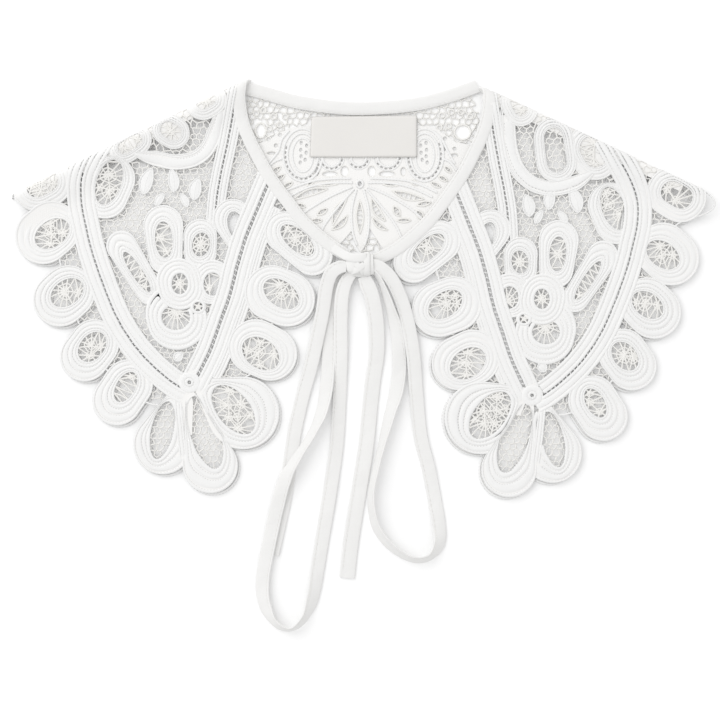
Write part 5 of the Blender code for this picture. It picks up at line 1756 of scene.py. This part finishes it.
def front_panel(mirrored):
    """The design of one front."""
    def copy(item):
        return right_copy(item) if mirrored else item

    neck, side, corners = ((NECK_RIGHT, -1, CLEAR_OF_RIGHT) if mirrored
                           else (NECK_LEFT, 1, CLEAR_OF_LEFT))
    fold = RIGHT_FOLD if mirrored else LEFT_FOLD
    panel = new_panel(design_layers(mirrored), [vectors(copy(point) for point in GROUND)],
                      [fold], ROLL_END, lace_edge(neck, side) + vectors(corners),
                      leaves=[copy(leaf) for leaf in FRONT_LEAVES])
    along, inward = fold_axes(fold)
    start = Vector((fold.x, fold.y)) - along * PAST_THE_LACE
    strip = [start - inward * PAST_THE_LACE, start + inward * ROLL_CLOTH_DEPTH]
    strip += [spot + along * 2 * PAST_THE_LACE for spot in reversed(strip)]
    solid = [(opening_outline(layer), "solid") for layer in panel.layers
             if layer.name in SOLID_RINGS[mirrored]]
    add_plate(panel.cloth, [*solid, (strip, "hole")], ROLL_CLOTH_LOW, ROLL_CLOTH_HIGH)
    add_roll_cloth(panel.cloth, fold, RIGHT_ROLL_SPAN if mirrored else LEFT_ROLL_SPAN)
    return panel


left_parts = work_panel("front_left", front_panel(False), LEFT_FOLD, 11)
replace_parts(left_parts[0], "lace_front_left")
right_parts = work_panel("front_right", front_panel(True), RIGHT_FOLD, 12)
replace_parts(right_parts[0], "lace_front_right")


# ---- The front bindings --------------------------------------------------------------------
# The same strip goes on down each front's neck edge to the bow. It rolls over at the shoulder
# with the lace and lies on it below, its inner edge topstitched.

bind("neck_left_binding", NECK_LEFT, LEFT_FOLD, ((LEFT_FOLD, ROLL_END),), "binding_front_left", 1)
bind("neck_right_binding", NECK_RIGHT, RIGHT_FOLD, ((RIGHT_FOLD, ROLL_END),),
     "binding_front_right", -1)


# ---- The knot ------------------------------------------------------------------------------
# Both ties go into one small bow knot: a lump of folded tape with turns of it pulled tight round
# the middle.

KNOT_CENTRE = (-2.0, 16.6, 4.4)
KNOT_SIZE = (16.8, 13.6, 8.2)
TURN_STEP = 6

# The lump's creases: depth, the slopes of the line they follow, where it lies, and half width.
KNOT_CREASES = ((0.10, 1, 0.9, 0.25, 0.13), (0.08, 0.25, 1, 0.45, 0.12))


def arc_round_knot(x, slant, y, reach, z, rise, end):
    """A turn's middle line over the lump, from -end to end degrees off its top."""
    turns = [(angle, math.radians(angle)) for angle in range(-end, end + 1, TURN_STEP)]
    return [(x - slant * angle / 8, y + reach * math.sin(turn), z + rise * math.cos(turn))
            for angle, turn in turns]


# The turns round the lump: half their width, and their middle lines in the pattern.
KNOT_TURNS = (
    (2.1, arc_round_knot(3.4, 0.02, 16.6, 7.3, 4.5, 4.5, 78)),
    (1.4, arc_round_knot(6.4, 0.04, 16.3, 6.5, 4.2, 3.9, 75)),
    (2.0, [(-6.5, 11.6, 6.2), (-3.6, 12.4, 8.2), (-1.2, 13.8, 8.9), (1.8, 16.2, 9.0)]),
    (1.9, [(-3.6, 16.6, 8.6), (-1.2, 14.2, 9.0), (0.8, 11.6, 8.0), (1.6, 10.2, 6.4)]),
    (1.3, [(-9.9, 13.4, 2.6), (-7.6, 11.2, 3.9), (-4.0, 9.9, 4.6), (-0.5, 9.6, 4.8),
           (2.4, 10.2, 4.6)]),
    (3.0, [(-18.5, 27.2, 4.0), (-13.5, 23.8, 5.6), (-9.0, 21.4, 7.4), (-4.5, 20.4, 8.3),
           (0.0, 20.6, 8.6), (2.8, 20.8, 8.2)]),
)


def knot_mesh():
    """A rounded lump of folded tape, creased where its turns meet."""
    mesh = bmesh.new()
    bmesh.ops.create_uvsphere(mesh, u_segments=48, v_segments=28, radius=1.0)
    for vert in mesh.verts:
        x, y, z = vert.co
        square = (abs(x) ** 3 + abs(y) ** 3 + abs(z) ** 3) ** (-1 / 3)
        full = 1 - sum(depth * math.exp(-((x * right + y * up - place) / half) ** 2)
                       for depth, right, up, place, half in KNOT_CREASES)
        for axis, size in enumerate(KNOT_SIZE):
            vert.co[axis] = (KNOT_CENTRE[axis] + vert.co[axis] * square * size / 2 * full) * MM
    bmesh.ops.translate(mesh, verts=mesh.verts, vec=(PATTERN_X * MM, PATTERN_Y * MM, 0))
    return smooth_mesh("knot", mesh)


knot = new_object("bow_lump", knot_mesh())
knot.data.materials.append(bias_finish)
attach(knot, "root")
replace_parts(knot, "bow_knot")
points, edges, numbers = [], [], {"half_width": [], "turn": []}
for half, line in KNOT_TURNS:
    line = smooth_path(line, 0.8)
    edges += [(len(points) + number, len(points) + number + 1) for number in range(len(line) - 1)]
    points += [point + Vector((PATTERN_X, PATTERN_Y, 0)) for point in line]
    numbers["half_width"] += [half * MM] * len(line)
    numbers["turn"] += [0.0] * len(line)
turns = grown("bow_turns", wire_mesh("wires", (points, edges, numbers)), tape_tree, Sides=16,
              Thickness_share=0.32, Squareness=0.75, Sewn_at=0.0, Sewn_depth=0.0,
              Material=bias_finish)
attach(turns, "root")


# ---- The ties ------------------------------------------------------------------------------
# The neck's bias binding runs on past the lace as two flat ties: cotton folded lengthwise and
# stitched near its open edge. They are tied in a bow, and its loops and ends lie on the table.

TIE_THICK = 1.3
TIE_WIDTH = 9.0
TIE_STEP = 2.5
TIE_SIDES = 22
TIE_SEWN_ROUND = 0.81
TIE_SWAY = 4.0
SWAY_RATE = 0.14
FLOOR_GAP = 0.05

# A stop is a point on a tie's middle line, with its width and its roll in degrees there.
Stop = namedtuple("Stop", "x y z width turn", defaults=(9, 0))
TIES = {
    "tie_left_tail": (
        Stop(-9.9, 14.8, 6.4, 7), Stop(-14, 14.6, 6.6, 8.5), Stop(-19, 11.5, 5.8),
        Stop(-22, 5, 4.8), Stop(-23.6, -3, 4.2), Stop(-25.2, -14, 3.7), Stop(-28.5, -30, 3.1),
        Stop(-33, -50, 2.2), Stop(-38, -68, 1.2), Stop(-43, -90, 0.9), Stop(-46, -110, 0.8),
        Stop(-48.5, -128, 0.8), Stop(-53, -150, 0.8), Stop(-58, -172, 0.8)),
    "tie_left_loop": (
        Stop(-6.6, 10.2, 3.8, 7), Stop(-10.4, 4.5, 4.2, 8.5), Stop(-12.8, -5, 4.2),
        Stop(-13.5, -20, 3.2), Stop(-13.5, -45, 2.0), Stop(-14.5, -75, 1.0), Stop(-16, -100, 0.8),
        Stop(-19.5, -125, 0.8), Stop(-23.5, -150, 0.8), Stop(-28, -178, 0.9, 9, -5),
        Stop(-31.5, -199, 2.2, 9, -25), Stop(-37, -213, 4.4, 8.5, -55),
        Stop(-46, -220, 5.0, 8.5, -72), Stop(-56, -216, 4.4, 8.5, -60),
        Stop(-63, -203, 3.6, 9, -30), Stop(-64, -187, 3.0, 9, -12), Stop(-60, -165, 2.8, 9, -5),
        Stop(-55, -142, 3.0), Stop(-50, -124, 4.4, 9, -18), Stop(-44.5, -113, 5.8, 8.5, -45),
        Stop(-37.5, -102, 5.6, 8.5, -60), Stop(-31, -91, 5.0, 8.5, -55),
        Stop(-25.5, -78, 4.0, 9, -35), Stop(-22.5, -62, 2.6, 9, -15), Stop(-21.5, -45, 1.6, 8.5),
        Stop(-21, -25, 1.2, 8), Stop(-20, -10, 1.2, 8), Stop(-16.5, 1.5, 1.2, 7.5),
        Stop(-12, 7.8, 1.2, 7), Stop(-7.9, 11.6, 1.2, 6)),
    "tie_right_tail": (
        Stop(1.4, 8.7, 4.0, 8), Stop(3.8, 3.0, 4.4, 10), Stop(6.8, -5, 4.0, 10),
        Stop(9.4, -20, 3.0, 10), Stop(10, -40, 1.6, 10), Stop(7.5, -59, 0.9, 10),
        Stop(5.5, -77, 0.8, 10), Stop(3, -101, 0.8, 10), Stop(-0.7, -125, 0.8, 10),
        Stop(-4.4, -148, 0.8, 10), Stop(-7.1, -166, 0.8, 10), Stop(-9.4, -187, 0.8, 10)),
    "tie_right_loop": (
        Stop(6.9, 16.0, 6.6, 7.5), Stop(11.5, 14.6, 6.8, 8.5), Stop(18, 8.6, 6.2), Stop(23, 0, 5.4),
        Stop(27.5, -12, 4.8), Stop(31.2, -27, 4.2), Stop(33.9, -45, 3.2), Stop(35.7, -68, 1.6),
        Stop(38.4, -95, 0.9), Stop(43.5, -115.5, 0.8), Stop(47.5, -136, 0.8),
        Stop(50.2, -152, 1.2, 9, -10), Stop(50.5, -164.5, 2.6, 9, -30),
        Stop(43.9, -173.5, 4.4, 8.5, -55), Stop(32.5, -174.5, 4.8, 8.5, -60),
        Stop(19.5, -166.8, 4.6, 8.5, -55), Stop(10.5, -155.8, 4.6, 8.5, -55),
        Stop(6.8, -143.5, 4.8, 8.5, -60), Stop(6.5, -130, 4.9, 8.5, -65),
        Stop(9.5, -115, 4.8, 8.5, -60), Stop(13, -101, 4.4, 8.5, -55),
        Stop(18.2, -81.3, 4.0, 9, -40), Stop(23.2, -63, 3.2, 9, -12), Stop(24.6, -45, 2.0),
        Stop(22.5, -25.5, 3.0, 8.5, -25), Stop(18, -10, 4.4, 8.5, -50),
        Stop(12.6, 4.5, 4.6, 8, -62), Stop(9.5, 9.5, 4.5, 7, -62), Stop(6.8, 12.6, 4.3, 6, -62)),
}


def tie_wire(stops):
    """The middle line of a tie, with its half width and its roll at each point."""
    path = smooth_path([stop[:3] for stop in stops], TIE_STEP)
    half_width, turn = [], []
    for before, after in zip(stops, stops[1:]):
        count = max(1, round((Vector(after[:3]) - Vector(before[:3])).length / TIE_STEP))
        for number in range(count):
            share = ease(number / count)
            half_width.append((before.width + (after.width - before.width) * share) / 2)
            turn.append(math.radians(before.turn + (after.turn - before.turn) * share
                                     + TIE_SWAY * math.sin(len(turn) * SWAY_RATE + stops[0].x)))
    half_width.append(stops[-1].width / 2)
    turn.append(math.radians(stops[-1].turn))
    for point, half, roll in zip(path, half_width, turn):
        point.z = max(point.z, half * abs(math.sin(roll)) + TIE_THICK / 2 + FLOOR_GAP)
        point.x += PATTERN_X
        point.y += PATTERN_Y
    edges = list(zip(range(len(path)), range(1, len(path))))
    return path, edges, {"half_width": [half * MM for half in half_width], "turn": turn}


for name, stops in TIES.items():
    wires = tie_wire(stops)
    tie = grown(name.replace("tie_", "bow_"), wire_mesh("wires", wires), tape_tree,
                Sides=TIE_SIDES, Thickness_share=TIE_THICK / TIE_WIDTH, Squareness=0.5,
                Sewn_at=0.62, Sewn_depth=0.35, Material=bias_finish)
    route = [point * MM for point in wires[0]]
    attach(tie, "root")
    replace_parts(tie, name)
    sewn = sew(tie.name + "_stitches", tie, TIE_SIDES, TIE_SEWN_ROUND)
    tuple(route[0])
    lengths_along(route)[-1]
    [tuple(point) for point in route]
